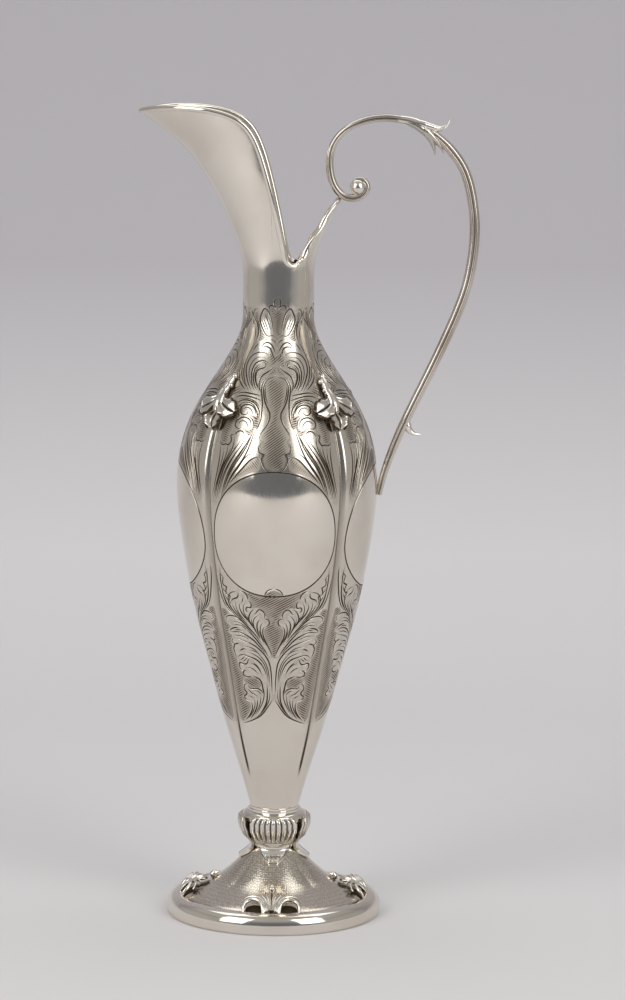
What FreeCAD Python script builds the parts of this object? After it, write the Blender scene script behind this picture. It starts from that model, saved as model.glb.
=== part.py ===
import FreeCAD, Part
import math
import os
import re

import Sketcher

# A footed silver ewer: a lobed body on a knop and a domed foot, a cut-away neck with a high lip
# and a scrolled handle. Millimetres, +Z up, origin at the centre of the foot's resting face,
# +X towards the handle, the lip at -X.

doc = FreeCAD.newDocument("ewer")
Vector = FreeCAD.Vector

# Driving sizes
sizes = {
    "foot_radius": 42.4,
    "rim_width": 5.2,
    "rim_height": 8.0,
    "band_height": 3.2,
    "band_step": 0.6,
    "rim_lip": 0.9,
    "dome_edge_height": 6.4,
    "dome_top_height": 27.0,
    "dome_top_radius": 8.4,
    "dome_wall": 1.2,
    "foot_leaf_width": 23.4,
    "foot_leaf_length": 15.5,
    "foot_leaf_thickness": 1.4,
    "knop_height": 14.0,
    "knop_stem_radius": 8.4,
    "knop_radius": 11.8,
    "knop_shoulder_radius": 10.2,
    "knop_leaf_thickness": 1.2,
    "knop_leaf_width": 16.4,
    "knop_leaf_waist": 0.9,
    "knop_leaf_drop": 2.8,
    "knop_leaf_flare": 4.9,
    "ring_height": 2.0,
    "ring_radius": 10.4,
    "ring_step": 0.6,
    "body_height": 207.0,
    "body_base_radius": 9.6,
    "belly_height": 127.0,
    "belly_radius": 39.4,
    "neck_radius": 13.9,
    "body_wall": 1.2,
    "body_floor": 2.0,
    "shoulder_leaf_height": 162.0,
    "shoulder_leaf_width": 21.0,
    "shoulder_leaf_length": 24.0,
    "shoulder_leaf_thickness": 1.8,
    "spout_height": 70.0,
    "lip_reach": 58.5,
    "tongue_reach": 36.0,
    "spout_half_width": 18.5,
    "rim_wire_radius": 1.0,
    "hook_size": 53.4,
    "handle_thickness": 4.2,
    "handle_width": 4.4,
    "volute_thickness": 1.7,
    "crown_thickness": 3.4,
    "stem_tail_thickness": 2.6,
    "volute_bead_radius": 1.8,
    "volute_bead_width": 5.0,
    "sheath_mouth": 6.2,
    "sheath_horn_radius": 1.5,
    "spur_length": 9.8,
    "spur_radius": 1.5,
    "handle_seat_height": 122.5,
    "solder_gap": 0.1,
    "cut_overrun": 5.0,
}

sheet = doc.addObject("Spreadsheet::Sheet", "Sizes")
for row, (alias, value) in enumerate(sizes.items(), 1):
    cell = "A%d" % row
    sheet.set(cell, str(value))
    sheet.setAlias(cell, alias)
doc.recompute()
nodes = []


# A size or a sum of sizes as a number
def num(expression):
    return float(sheet.evalExpression(expression))


# The same sum as the other objects of the document refer to it
def bound(expression):
    return re.sub(r"\b([a-z]+(?:_[a-z]+)+)\b", r"Sizes.\1", expression)


def new_body(label):
    body = doc.addObject("PartDesign::Body", label)
    body.Label = label
    return body


def new_sketch(body, name, role, height):
    sketch = body.newObject("Sketcher::SketchObject", name)
    plane = next(item for item in body.Origin.OriginFeatures if item.Role == role)
    sketch.AttachmentSupport = (plane, [""])
    sketch.MapMode = "FlatFace"
    sketch.setExpression("AttachmentOffset.Base.z", bound(height))
    return sketch


def drive(sketch, kind, geometry, position, expression):
    sketch.addConstraint(Sketcher.Constraint(kind, -1, 1, geometry, position, num(expression)))
    sketch.setExpression("Constraints[%d]" % (sketch.ConstraintCount - 1), bound(expression))


def drive_point(sketch, geometry, position, corner):
    drive(sketch, "DistanceX", geometry, position, corner[0])
    drive(sketch, "DistanceY", geometry, position, corner[1])


# A closed outline: each step is (x, y) for a line or (via_x, via_y, x, y) for an arc
def outline(body, name, role, steps, height="0"):
    sketch = new_sketch(body, name, role, height)
    corners = [step[-2:] for step in steps]
    joints = []
    for start, step in zip(corners[-1:] + corners[:-1], steps):
        first = Vector(num(start[0]), num(start[1]), 0)
        last = Vector(num(step[-2]), num(step[-1]), 0)
        backwards = False
        if len(step) == 4:
            via = Vector(num(step[0]), num(step[1]), 0)
            backwards = (via - first).cross(last - via).z < 0
            ends = (last, first) if backwards else (first, last)
            index = sketch.addGeometry(Part.Arc(ends[0], via, ends[1]), False)
            mark = sketch.addGeometry(Part.Point(via), True)
            sketch.addConstraint(Sketcher.Constraint("PointOnObject", mark, 1, index))
            drive_point(sketch, mark, 1, step[:2])
        else:
            index = sketch.addGeometry(Part.LineSegment(first, last), False)
        joints.append((index, 2, 1) if backwards else (index, 1, 2))
    for before, after, corner in zip(joints, joints[1:] + joints[:1], corners):
        meeting = Sketcher.Constraint("Coincident", before[0], before[2], after[0], after[1])
        sketch.addConstraint(meeting)
        drive_point(sketch, before[0], before[2], corner)
    return sketch


def revolved(label, steps):
    body = new_body(label)
    sketch = outline(body, label + "_profile", "XZ_Plane", steps)
    turn = body.newObject("PartDesign::Revolution", label + "_turn")
    turn.Profile = sketch
    turn.ReferenceAxis = (sketch, ["V_Axis"])
    return body


def loft(body, kind, sections, name):
    skin = body.newObject("PartDesign::" + kind, name)
    skin.Profile = sections[0]
    skin.Sections = sections[1:]
    doc.recompute()


# A lobed section: four arcs that swell at X and Y and meet in grooves on the diagonals
def lobed_section(body, name, height, radius, groove_share):
    groove = "(%s) * %.4f" % (radius, groove_share * math.sqrt(0.5))
    steps = [
        ("0", "-(%s)" % radius, groove, "-" + groove),
        (radius, "0", groove, groove),
        ("0", radius, "-" + groove, groove),
        ("-(%s)" % radius, "0", "-" + groove, "-" + groove),
    ]
    return outline(body, name, "XY_Plane", steps, height)


def feature(label, shape):
    item = doc.addObject("Part::Feature", label)
    item.Label = label
    item.Shape = shape
    return item


def boolean(kind, label, base, tool):
    item = doc.addObject("Part::" + kind, label)
    item.Label = label
    item.Base = base
    item.Tool = tool
    return item


# Foot rim: a plain band under a quarter-round moulding
rim_inner = "foot_radius - rim_width"
moulding_outer = "foot_radius - band_step"
moulding_width = "(rim_width - band_step - rim_lip)"
moulding_rise = "(rim_height - band_height)"
quarter_share = math.sqrt(0.5)
foot_rim_steps = [
    (rim_inner, "0"),
    ("foot_radius", "0"),
    ("foot_radius", "band_height"),
    (moulding_outer, "band_height"),
    (
        "%s - %s * %.4f" % (moulding_outer, moulding_width, 1 - quarter_share),
        "band_height + %s * %.4f" % (moulding_rise, quarter_share),
        rim_inner + " + rim_lip",
        "rim_height",
    ),
    (rim_inner, "rim_height"),
]
nodes.append(revolved("foot_rim", foot_rim_steps))

# Domed foot: a lobed trumpet of sheet, open below. Height, radius and groove from edge to top.
dome_shares = [
    (0.0, 1.0, 1.0),
    (0.08, 0.958, 0.985),
    (0.235, 0.683, 0.945),
    (0.455, 0.404, 0.925),
    (0.72, 0.195, 0.94),
    (1.0, 0.0, 1.0),
]


def dome_sections(body, tag, offset):
    reach = "(foot_radius - rim_width - solder_gap - dome_top_radius)"
    climb = "(dome_top_height - dome_edge_height)"
    sections = []
    for index, (rise, swell, groove) in enumerate(dome_shares):
        height = "dome_edge_height + %s * %.4f + %s" % (climb, rise, offset)
        radius = "dome_top_radius + %s * %.4f + %s" % (reach, swell, offset)
        sections.append(lobed_section(body, "%s_%d" % (tag, index), height, radius, groove))
    return sections


foot_dome = new_body("foot_dome")
loft(foot_dome, "AdditiveLoft", dome_sections(foot_dome, "dome_out", "0"), "dome_outside")
loft(foot_dome, "SubtractiveLoft", dome_sections(foot_dome, "dome_in", "-dome_wall"), "dome_inside")
nodes.append(foot_dome)
dome_seat = new_body("dome_seat")
loft(dome_seat, "AdditiveLoft", dome_sections(dome_seat, "dome_gap", "solder_gap"), "dome_over")
dome_skin = new_body("dome_skin")
foot_leaf_lift = "solder_gap + foot_leaf_thickness"
loft(dome_skin, "AdditiveLoft", dome_sections(dome_skin, "dome_leaf", foot_leaf_lift), "dome_leaves")

# Knop: a tapered stem that swells to a rounded shoulder
knop_base = "dome_top_height"
knop_swell_share = 0.62
knop_turn_share = 0.86
knop_turn_inset_share = 0.3


def knop_height_at(share):
    return "%s + knop_height * %.4f" % (knop_base, share)


knop_steps = [
    ("0", knop_base),
    ("knop_stem_radius", knop_base),
    ("knop_radius", knop_height_at(knop_swell_share)),
    (
        "knop_radius - (knop_radius - knop_shoulder_radius) * %.4f" % knop_turn_inset_share,
        knop_height_at(knop_turn_share),
        "knop_shoulder_radius",
        knop_height_at(1.0),
    ),
    ("0", knop_height_at(1.0)),
]
nodes.append(revolved("knop_core", knop_steps))

# Stepped ring between knop and body
ring_bottom = knop_height_at(1.0)
ring_middle = ring_bottom + " + ring_height / 2"
ring_top = ring_bottom + " + ring_height"
ring_steps = [
    ("0", ring_bottom),
    ("ring_radius", ring_bottom),
    ("ring_radius", ring_middle),
    ("ring_radius - ring_step", ring_middle),
    ("ring_radius - ring_step", ring_top),
    ("0", ring_top),
]
nodes.append(revolved("base_ring", ring_steps))

# Collar from which the knop's leaves are cut: it hugs the knop and flares out below it
leaf_inner = "knop_radius + solder_gap"
leaf_outer = leaf_inner + " + knop_leaf_thickness"
waist_inner = "knop_stem_radius + knop_leaf_waist"
waist_outer = waist_inner + " + knop_leaf_thickness"
flare_inner = "knop_stem_radius + knop_leaf_flare"
flare_outer = flare_inner + " + knop_leaf_thickness / 2"
collar_top_share = 0.92
collar_edge_share = 0.84
waist_inner_share = 0.12
waist_outer_share = 0.14
flare_inner_turn_share = 0.16
flare_outer_turn_share = 0.08
flare_inner_drop_share = 0.3
flare_outer_rise_share = 0.08
collar_steps = [
    (leaf_inner, knop_height_at(collar_top_share)),
    (leaf_inner, knop_height_at(knop_swell_share)),
    (waist_inner, knop_height_at(waist_inner_share)),
    (
        "%s + knop_leaf_flare * %.4f" % (waist_inner, flare_inner_turn_share),
        "%s - knop_leaf_drop * %.4f" % (knop_base, flare_inner_drop_share),
        flare_inner,
        knop_base + " - knop_leaf_drop",
    ),
    (flare_outer, knop_base + " - knop_leaf_drop + knop_leaf_thickness / 2"),
    (
        "%s + knop_leaf_flare * %.4f" % (waist_outer, flare_outer_turn_share),
        "%s + knop_leaf_drop * %.4f" % (knop_base, flare_outer_rise_share),
        waist_outer,
        knop_height_at(waist_outer_share),
    ),
    (leaf_outer, knop_height_at(knop_swell_share)),
    (leaf_outer, knop_height_at(collar_edge_share)),
]
knop_collar = revolved("knop_collar", collar_steps)

# Lobed body. Height, radius and groove, first from base to belly, then from belly to neck. A groove
# share is the radius in the groove over the radius on the lobe.
lower_body_shares = [
    (0.0, 0.0, 1.0),
    (0.1, 0.122, 1.0),
    (0.25, 0.322, 0.967),
    (0.45, 0.556, 0.931),
    (0.65, 0.778, 0.912),
    (0.83, 0.922, 0.906),
    (1.0, 1.0, 0.905),
]
upper_body_shares = [
    (0.2, 0.948, 0.905),
    (0.34, 0.81, 0.907),
    (0.46, 0.615, 0.913),
    (0.58, 0.374, 0.923),
    (0.7, 0.144, 0.94),
    (0.82, 0.007, 0.965),
    (1.0, 0.0, 1.0),
]
body_bottom = ring_top
body_top = body_bottom + " + body_height"


def body_sections(body, tag, offset, floor="0"):
    sections = []
    for index, (rise, swell, groove) in enumerate(lower_body_shares):
        lift = floor if index == 0 else "0"
        height = "%s + %s + belly_height * %.4f" % (body_bottom, lift, rise)
        radius = "body_base_radius + (belly_radius - body_base_radius) * %.4f + %s" % (swell, offset)
        sections.append(lobed_section(body, "%s_low_%d" % (tag, index), height, radius, groove))
    for index, (rise, swell, groove) in enumerate(upper_body_shares):
        height = "%s + belly_height + (body_height - belly_height) * %.4f" % (body_bottom, rise)
        radius = "neck_radius + (belly_radius - neck_radius) * %.4f + %s" % (swell, offset)
        sections.append(lobed_section(body, "%s_high_%d" % (tag, index), height, radius, groove))
    return sections


body_shell = new_body("body_shell")
loft(body_shell, "AdditiveLoft", body_sections(body_shell, "body_out", "0"), "body_outside")
hollow_sections = body_sections(body_shell, "body_in", "-body_wall", "body_floor")
loft(body_shell, "SubtractiveLoft", hollow_sections, "body_inside")
nodes.append(body_shell)

# The same form a little larger, which seats what is soldered on, and its leaf-thick skin
body_seat = new_body("body_seat")
loft(body_seat, "AdditiveLoft", body_sections(body_seat, "body_gap", "solder_gap"), "body_over")
body_skin = new_body("body_skin")
shoulder_leaf_lift = "solder_gap + shoulder_leaf_thickness"
loft(body_skin, "AdditiveLoft", body_sections(body_skin, "body_leaf", shoulder_leaf_lift), "body_leaves")

# Neck and spout: oval sections that slide towards the lip as they rise. Height, left reach,
# right reach and half width.
spout_shares = [
    (0.14, 0.029, 0.059, 0.2),
    (0.37, 0.137, 0.276, 0.67),
    (0.48, 0.217, 0.434, 0.89),
    (0.625, 0.35, 0.593, 1.0),
    (0.77, 0.529, 0.729, 0.89),
    (0.91, 0.798, 0.864, 0.46),
    (1.0, 1.0, 1.0, 0.02),
]


def oval_section(body, name, height, left, right, half_width):
    sketch = new_sketch(body, name, "XY_Plane", height)
    centre = (num(right) - num(left)) / 2
    side = Vector(centre, num(half_width), 0)
    ellipse = Part.Ellipse(Vector(num(right), 0, 0), side, Vector(centre, 0, 0))
    index = sketch.addGeometry(ellipse, False)
    sketch.exposeInternalGeometry(index)
    long_axis = index + 1
    short_axis = index + 2
    drive_point(sketch, long_axis, 1, (right, "0"))
    drive_point(sketch, long_axis, 2, ("-(%s)" % left, "0"))
    drive(sketch, "DistanceY", short_axis, 1, half_width)
    return sketch


def seam_section(body, name, height, radius):
    sketch = new_sketch(body, name, "XY_Plane", height)
    circle = Part.Circle(Vector(0, 0, 0), Vector(0, 0, 1), num(radius))
    index = sketch.addGeometry(circle, False)
    sketch.addConstraint(Sketcher.Constraint("Coincident", index, 3, -1, 1))
    sketch.addConstraint(Sketcher.Constraint("Radius", index, num(radius)))
    sketch.setExpression("Constraints[1]", bound(radius))
    return sketch


def neck_sections(body, tag, offset):
    sections = [seam_section(body, tag + "_seam", body_top, "neck_radius + " + offset)]
    for index, (rise, left, right, side) in enumerate(spout_shares):
        height = "%s + spout_height * %.4f" % (body_top, rise)
        left_reach = "neck_radius + (lip_reach - neck_radius) * %.4f + %s" % (left, offset)
        right_reach = "neck_radius + (tongue_reach - neck_radius) * %.4f + %s" % (right, offset)
        half_width = "neck_radius + (spout_half_width - neck_radius) * %.4f + %s" % (side, offset)
        name = "%s_%d" % (tag, index)
        sections.append(oval_section(body, name, height, left_reach, right_reach, half_width))
    return sections


neck_tube = new_body("neck_tube")
loft(neck_tube, "AdditiveLoft", neck_sections(neck_tube, "neck_out", "0"), "neck_outside")
loft(neck_tube, "SubtractiveLoft", neck_sections(neck_tube, "neck_in", "-body_wall"), "neck_inside")
neck_guide = new_body("neck_guide")
loft(neck_guide, "AdditiveLoft", neck_sections(neck_guide, "neck_mid", "-body_wall / 2"), "neck_middle")


# Smooth paths: a pair of tangent arcs between each two points
flat_arc_share = 0.0005


def arc_tangents(points):
    tangents = []
    for before, point, after in zip(points, points[1:], points[2:]):
        inward = point - before
        outward = after - point
        bend = inward / inward.Length ** 2 + outward / outward.Length ** 2
        tangents.append(bend.normalize())
    first = (points[1] - points[0]).normalize()
    last = (points[-1] - points[-2]).normalize()
    start = first * (2 * first.dot(tangents[0])) - tangents[0]
    end = last * (2 * last.dot(tangents[-1])) - tangents[-1]
    return [start] + tangents + [end]


def tangent_arc(start, direction, length, end):
    corner = start + direction * length
    middle = (start + end) / 2
    half_chord = (end - start).Length / 2
    crown = middle + (corner - middle) * (half_chord / (half_chord + length))
    if (crown - middle).Length < half_chord * flat_arc_share:
        return Part.makeLine(start, end)
    return Part.Arc(start, crown, end).toShape()


def arc_pair(start, leaving, end, arriving):
    span = end - start
    square = 2 * (1 - leaving.dot(arriving))
    linear = 2 * span.dot(leaving + arriving)
    if square < flat_arc_share ** 2:
        length = span.dot(span) / linear
    else:
        length = (math.sqrt(linear ** 2 + 4 * square * span.dot(span)) - linear) / (2 * square)
    meeting = (start + leaving * length + end - arriving * length) / 2
    return [tangent_arc(start, leaving, length, meeting), tangent_arc(end, -arriving, length, meeting)]


def smooth_path(points, tangents):
    edges = []
    for index in range(len(points) - 1):
        edges += arc_pair(points[index], tangents[index], points[index + 1], tangents[index + 1])
    return Part.Wire(Part.sortEdges(edges)[0])


# The rim seen from the side: X as a share of the lip's reach, Z as a share of the spout's height
rim_shares = [
    (-1.05, 0.925),
    (-0.949, 0.954),
    (-0.69, 0.984),
    (-0.375, 0.955),
    (-0.22, 0.885),
    (-0.128, 0.75),
    (-0.034, 0.467),
    (0.05, 0.17),
    (0.096, 0.122),
    (0.15, 0.162),
    (0.228, 0.265),
    (0.392, 0.48),
    (0.48, 0.6),
]
neck_bottom = num(body_top)
rim_points = [
    Vector(num("lip_reach") * x_share, 0, neck_bottom + num("spout_height") * z_share)
    for x_share, z_share in rim_shares
]
rim_tangents = arc_tangents(rim_points)
half_span = num("spout_half_width + cut_overrun")

# Rim wire: led round the middle of the neck's wall, from the tongue to the lip and back. Its stations
# lie closer in the notch beside the tongue.
rim_station_shares = [
    0.0, 0.03, 0.07, 0.12, 0.17, 0.2, 0.2225, 0.235, 0.2475, 0.26, 0.28, 0.31,
    0.36, 0.44, 0.54, 0.6, 0.64, 0.68, 0.74, 0.8, 0.87, 0.93, 0.97, 1.0,
]
rim_fine_count = 400
rim_sheet = smooth_path(rim_points, rim_tangents).extrude(Vector(0, -half_span, 0))
rim_front = Part.Wire(Part.sortEdges(neck_guide.Shape.section(rim_sheet).Edges)[0])
rim_line = rim_front.discretize(Number=rim_fine_count + 1)
if rim_line[0].x < rim_line[-1].x:
    rim_line.reverse()
rim_stations = [rim_line[round(share * rim_fine_count)] for share in rim_station_shares]
tongue_tip = rim_stations[0]
rim_headings = arc_tangents(rim_stations)
rim_headings[0] = Vector(0, -1, 0)
rim_headings[-1] = Vector(0, 1, 0)


def ring_section(point, tangent, radius):
    return Part.Wire(Part.makeCircle(radius, point, tangent))


rim_path = smooth_path(rim_stations, rim_headings)


def rim_pipe(radius):
    section = ring_section(tongue_tip, rim_headings[0], num(radius))
    front_half = rim_path.makePipeShell([section], True, False)
    back_half = front_half.mirror(Vector(0, 0, 0), Vector(0, 1, 0))
    return front_half.fuse(back_half)


rim_wire = feature("rim_wire", rim_pipe("rim_wire_radius"))
nodes.append(rim_wire)

# The neck is cut away along the rim, and hollowed there for the wire that lies on its edge
cut_top = num(body_top + " + spout_height + cut_overrun")
cut_right = rim_points[-1].x + half_span
cut_corners = [
    rim_points[-1],
    Vector(cut_right, 0, rim_points[-1].z),
    Vector(cut_right, 0, cut_top),
    Vector(rim_points[0].x, 0, cut_top),
    rim_points[0],
]
cut_edges = smooth_path(rim_points, rim_tangents).Edges + Part.makePolygon(cut_corners).Edges
cut_block = Part.Face(Part.Wire(cut_edges)).extrude(Vector(0, 2 * half_span, 0))
cut_block.translate(Vector(0, -half_span, 0))
neck_open = boolean("Cut", "neck_open", neck_tube, feature("rim_cutter", cut_block))
rim_hollow = feature("rim_hollow", rim_pipe("rim_wire_radius + solder_gap"))
neck_edged = boolean("Cut", "neck_edged", neck_open, rim_hollow)
doc.recompute()
nodes.append(feature("neck_spout", max(neck_edged.Shape.Solids, key=lambda solid: solid.Volume)))

# Handle: a hook that starts in a volute over the tongue's tip, in shares of its size from that tip
hook_shares = [
    (0.131, 0.148),
    (0.193, 0.137),
    (0.2, 0.073),
    (0.106, 0.03),
    (0.026, 0.05),
    (-0.038, 0.15),
    (-0.06, 0.3),
    (0.094, 0.518),
    (0.343, 0.6),
    (0.54, 0.566),
    (0.72, 0.465),
    (0.872, 0.3),
    (0.985, -0.03),
    (1.0, -0.23),
]
volute_centre_share = (0.155, 0.103)
sheath_tip_shares = [(0.798, 0.549), (0.706, 0.337)]
crown_start = 6
sheath_start = 9
sheath_end = 10

# and a stem from the hook's widest point to its seat on the body, in shares of that span
stem_shares = [
    (0.87, 0.745),
    (0.563, 0.5),
    (0.234, 0.258),
    (0.075, 0.11),
    (0.0, 0.02),
]

# A ridged bar's section: thickness and width shares of its six corners
ridge_shares = [(0.5, 0.25), (0.0, 0.5), (-0.5, 0.25), (-0.5, -0.25), (0.0, -0.5), (0.5, -0.25)]


def hook_point(shares):
    return tongue_tip + Vector(shares[0], 0, shares[1]) * num("hook_size")


hook = [hook_point(shares) for shares in hook_shares]
seat_height = num(body_bottom + " + handle_seat_height")
seat_ray = Part.makeLine(Vector(0, 0, seat_height), Vector(2 * num("belly_radius"), 0, seat_height))
seat_reach = max(vertex.X for vertex in seat_ray.common(body_seat.Shape).Vertexes)
handle_seat = Vector(seat_reach, 0, seat_height)
stem_span = hook[-1] - handle_seat
stem = [
    handle_seat + Vector(stem_span.x * x_share, 0, stem_span.z * z_share)
    for x_share, z_share in stem_shares
]
handle_points = hook + stem
handle_tangents = arc_tangents(handle_points)
tail = len(handle_points) - 1


def ridged_section(point, tangent, thickness):
    across = tangent.cross(Vector(0, 1, 0)).normalize() * num(thickness)
    ridge = Vector(0, num("handle_width"), 0)
    corners = [point + across * flat + ridge * side for flat, side in ridge_shares]
    return Part.makePolygon(corners + corners[:1])


def swept(path, sections):
    shell = Part.BRepOffsetAPI.MakePipeShell(path)
    shell.setBiNormalMode(Vector(0, 1, 0))
    for section in sections:
        shell.add(section)
    shell.build()
    shell.makeSolid()
    return shell.shape()


# A stretch of the handle, with its thickness at some of the points that it passes
def handle_bar(first, last, stations):
    path = smooth_path(handle_points[first:last + 1], handle_tangents[first:last + 1])
    sections = [
        ridged_section(handle_points[index], handle_tangents[index], thickness)
        for index, thickness in stations
    ]
    return swept(path, sections)


scroll_stations = [
    (0, "volute_thickness"),
    (crown_start, "crown_thickness"),
    (sheath_start, "crown_thickness"),
]
scroll_bar = feature("scroll_bar", handle_bar(0, sheath_start, scroll_stations))
nodes.append(boolean("Cut", "handle_scroll", scroll_bar, rim_wire))
stem_stations = [
    (sheath_end, "handle_thickness"),
    (len(hook), "handle_thickness"),
    (tail, "stem_tail_thickness"),
]
stem_bar = feature("stem_bar", handle_bar(sheath_end, tail, stem_stations))
nodes.append(boolean("Cut", "handle_stem", stem_bar, body_seat))

# A tapered horn that leaves a point along a heading and bends to its tip
horn_tip_share = 0.15


def horn(start, heading, tip, radius):
    chord = (tip - start).normalize()
    arriving = chord * (2 * chord.dot(heading)) - heading
    root_ring = ring_section(start, heading, num(radius))
    tip_ring = ring_section(tip, arriving, num(radius) * horn_tip_share)
    return swept(smooth_path([start, tip], [heading, arriving]), [root_ring, tip_ring])


# Leaf sheath where the scroll meets the stem, with a horn on each side of the stem
sheath_stations = [(sheath_start, "crown_thickness"), (sheath_end, "sheath_mouth")]
sheath_shape = handle_bar(sheath_start, sheath_end, sheath_stations)
sheath_root = (handle_points[sheath_start] + handle_points[sheath_end]) / 2
for tip_share in sheath_tip_shares:
    tip = hook_point(tip_share)
    sheath_horn = horn(sheath_root, handle_tangents[sheath_start], tip, "sheath_horn_radius")
    sheath_shape = sheath_shape.fuse(sheath_horn)
sheath_blank = feature("sheath_blank", sheath_shape.removeSplitter())
sheath_open = boolean("Cut", "sheath_open", sheath_blank, stem_bar)
nodes.append(boolean("Cut", "handle_sheath", sheath_open, scroll_bar))

# Thorn on the outer side of the stem
spur_station = 16
spur_place_share = 0.45
spur_rise_share = 0.77
spur_out_share = 0.64
spur_span = handle_points[spur_station + 1] - handle_points[spur_station]
spur_root = handle_points[spur_station] + spur_span * spur_place_share
spur_heading = (spur_span * -1).normalize()
spur_out = Vector(0, 1, 0).cross(spur_heading)
spur_reach = spur_heading * spur_rise_share + spur_out * spur_out_share
spur_shape = horn(spur_root, spur_heading, spur_root + spur_reach * num("spur_length"), "spur_radius")
nodes.append(boolean("Cut", "handle_spur", feature("spur_blank", spur_shape), stem_bar))

# Bead in the eye of the volute
bead_stretch = FreeCAD.Matrix()
bead_stretch.scale(1, num("volute_bead_width / 2 / volute_bead_radius"), 1)
bead_shape = Part.makeSphere(num("volute_bead_radius")).transformGeometry(bead_stretch)
bead_blank = feature("bead_blank", bead_shape)
bead_blank.Placement = FreeCAD.Placement(hook_point(volute_centre_share), FreeCAD.Rotation())
nodes.append(boolean("Cut", "volute_bead", bead_blank, scroll_bar))

# Leaf outlines from the middle to one side, as shares of width and length: each step is an end
# point, or a via point and an end point
shoulder_leaf_tip_share = (0.0, 0.5)
shoulder_leaf_shares = [
    (0.1, 0.47, 0.13, 0.37),
    (0.07, 0.3, 0.1, 0.22),
    (0.13, 0.17, 0.1, 0.1),
    (0.3, 0.13, 0.5, 0.0),
    (0.45, -0.1, 0.34, -0.12),
    (0.16, -0.03),
    (0.23, -0.22, 0.18, -0.38),
    (0.12, -0.46, 0.0, -0.5),
]
foot_leaf_base_share = (0.0, 0.0)
foot_leaf_shares = [
    (0.065, 0.0),
    (0.1, 0.2, 0.25, 0.27),
    (0.38, 0.25, 0.45, 0.04),
    (0.49, 0.0, 0.5, 0.08),
    (0.4, 0.42, 0.21, 0.46),
    (0.14, 0.47, 0.1, 0.53),
    (0.14, 0.64, 0.11, 0.74),
    (0.06, 0.76, 0.05, 0.8),
    (0.08, 0.9, 0.0, 1.0),
]
knop_leaf_top_share = (0.0, 1.0)
knop_leaf_shares = [
    (0.5, 1.0),
    (0.5, 0.6),
    (0.47, 0.3, 0.36, 0.08),
    (0.26, -0.25),
    (0.0, -0.25),
]


def leaf_face(start, half_steps, place):
    edges = []
    here = start
    for step in half_steps:
        for side in (1, -1):
            points = [place(side * here[0], here[1])]
            points += [place(side * step[at], step[at + 1]) for at in range(0, len(step), 2)]
            curve = Part.Arc(*points) if len(points) == 3 else Part.LineSegment(*points)
            edges.append(curve.toShape())
        here = step[-2:]
    return Part.Face(Part.Wire(Part.sortEdges(edges)[0]))


# Four mounts: one leaf stamped out of the cover that it is part of, and its copies round the axis
def leaf_mounts(label, names, stamp, cover, first_turn):
    stamp.rotate(Vector(0, 0, 0), Vector(0, 0, 1), first_turn)
    master = boolean("Common", label + "_master", feature(label + "_stamp", stamp), cover)
    doc.recompute()
    for quarter, name in enumerate(names):
        mount = feature("%s_%s" % (label, name), master.Shape)
        mount.Placement = FreeCAD.Placement(Vector(), FreeCAD.Rotation(Vector(0, 0, 1), 90.0 * quarter))
        nodes.append(mount)


face_names = ("handle", "back", "lip", "front")
corner_names = ("back_handle", "back_lip", "front_lip", "front_handle")


def shoulder_place(across, up):
    height = num(body_bottom + " + shoulder_leaf_height") + num("shoulder_leaf_length") * up
    return Vector(0, num("shoulder_leaf_width") * across, height)


def foot_place(across, inward):
    radius = num(rim_inner + " - 2 * solder_gap") - num("foot_leaf_length") * inward
    return Vector(radius, num("foot_leaf_width") * across, 0)


def knop_place(across, up):
    return Vector(0, num("knop_leaf_width") * across, num(knop_height_at(up)))


shoulder_stamp = leaf_face(shoulder_leaf_tip_share, shoulder_leaf_shares, shoulder_place)
shoulder_stamp = shoulder_stamp.extrude(Vector(num("belly_radius + cut_overrun"), 0, 0))
shoulder_cover = boolean("Cut", "shoulder_cover", body_skin, body_seat)
leaf_mounts("shoulder_leaf", corner_names, shoulder_stamp, shoulder_cover, 45.0)
foot_stamp = leaf_face(foot_leaf_base_share, foot_leaf_shares, foot_place)
foot_stamp = foot_stamp.extrude(Vector(0, 0, num("dome_top_height + cut_overrun")))
foot_cover = boolean("Cut", "foot_cover", dome_skin, dome_seat)
leaf_mounts("foot_leaf", face_names, foot_stamp, foot_cover, 0.0)
knop_stamp = leaf_face(knop_leaf_top_share, knop_leaf_shares, knop_place)
knop_stamp = knop_stamp.extrude(Vector(num("knop_radius + knop_leaf_flare + cut_overrun"), 0, 0))
leaf_mounts("knop_leaf", face_names, knop_stamp, knop_collar, 0.0)

# Every object is sound before anything is written
doc.recompute()
for item in doc.Objects:
    if "Invalid" in item.State or "Error" in item.State:
        raise RuntimeError("%s failed: %s" % (item.Label, item.State))
for node in nodes:
    if node.Shape.isNull() or not node.Shape.isValid():
        raise RuntimeError("%s has no sound shape" % node.Label)
os.makedirs("parts", exist_ok=True)
for node in nodes:
    node.Shape.exportStep("parts/%s.step" % node.Label)
    print(node.Label, round(node.Shape.Volume, 1), len(node.Shape.Solids))
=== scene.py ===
import math

import bpy
import numpy as np
from mathutils import Matrix, Vector, kdtree
from mathutils.geometry import delaunay_2d_cdt


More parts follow.
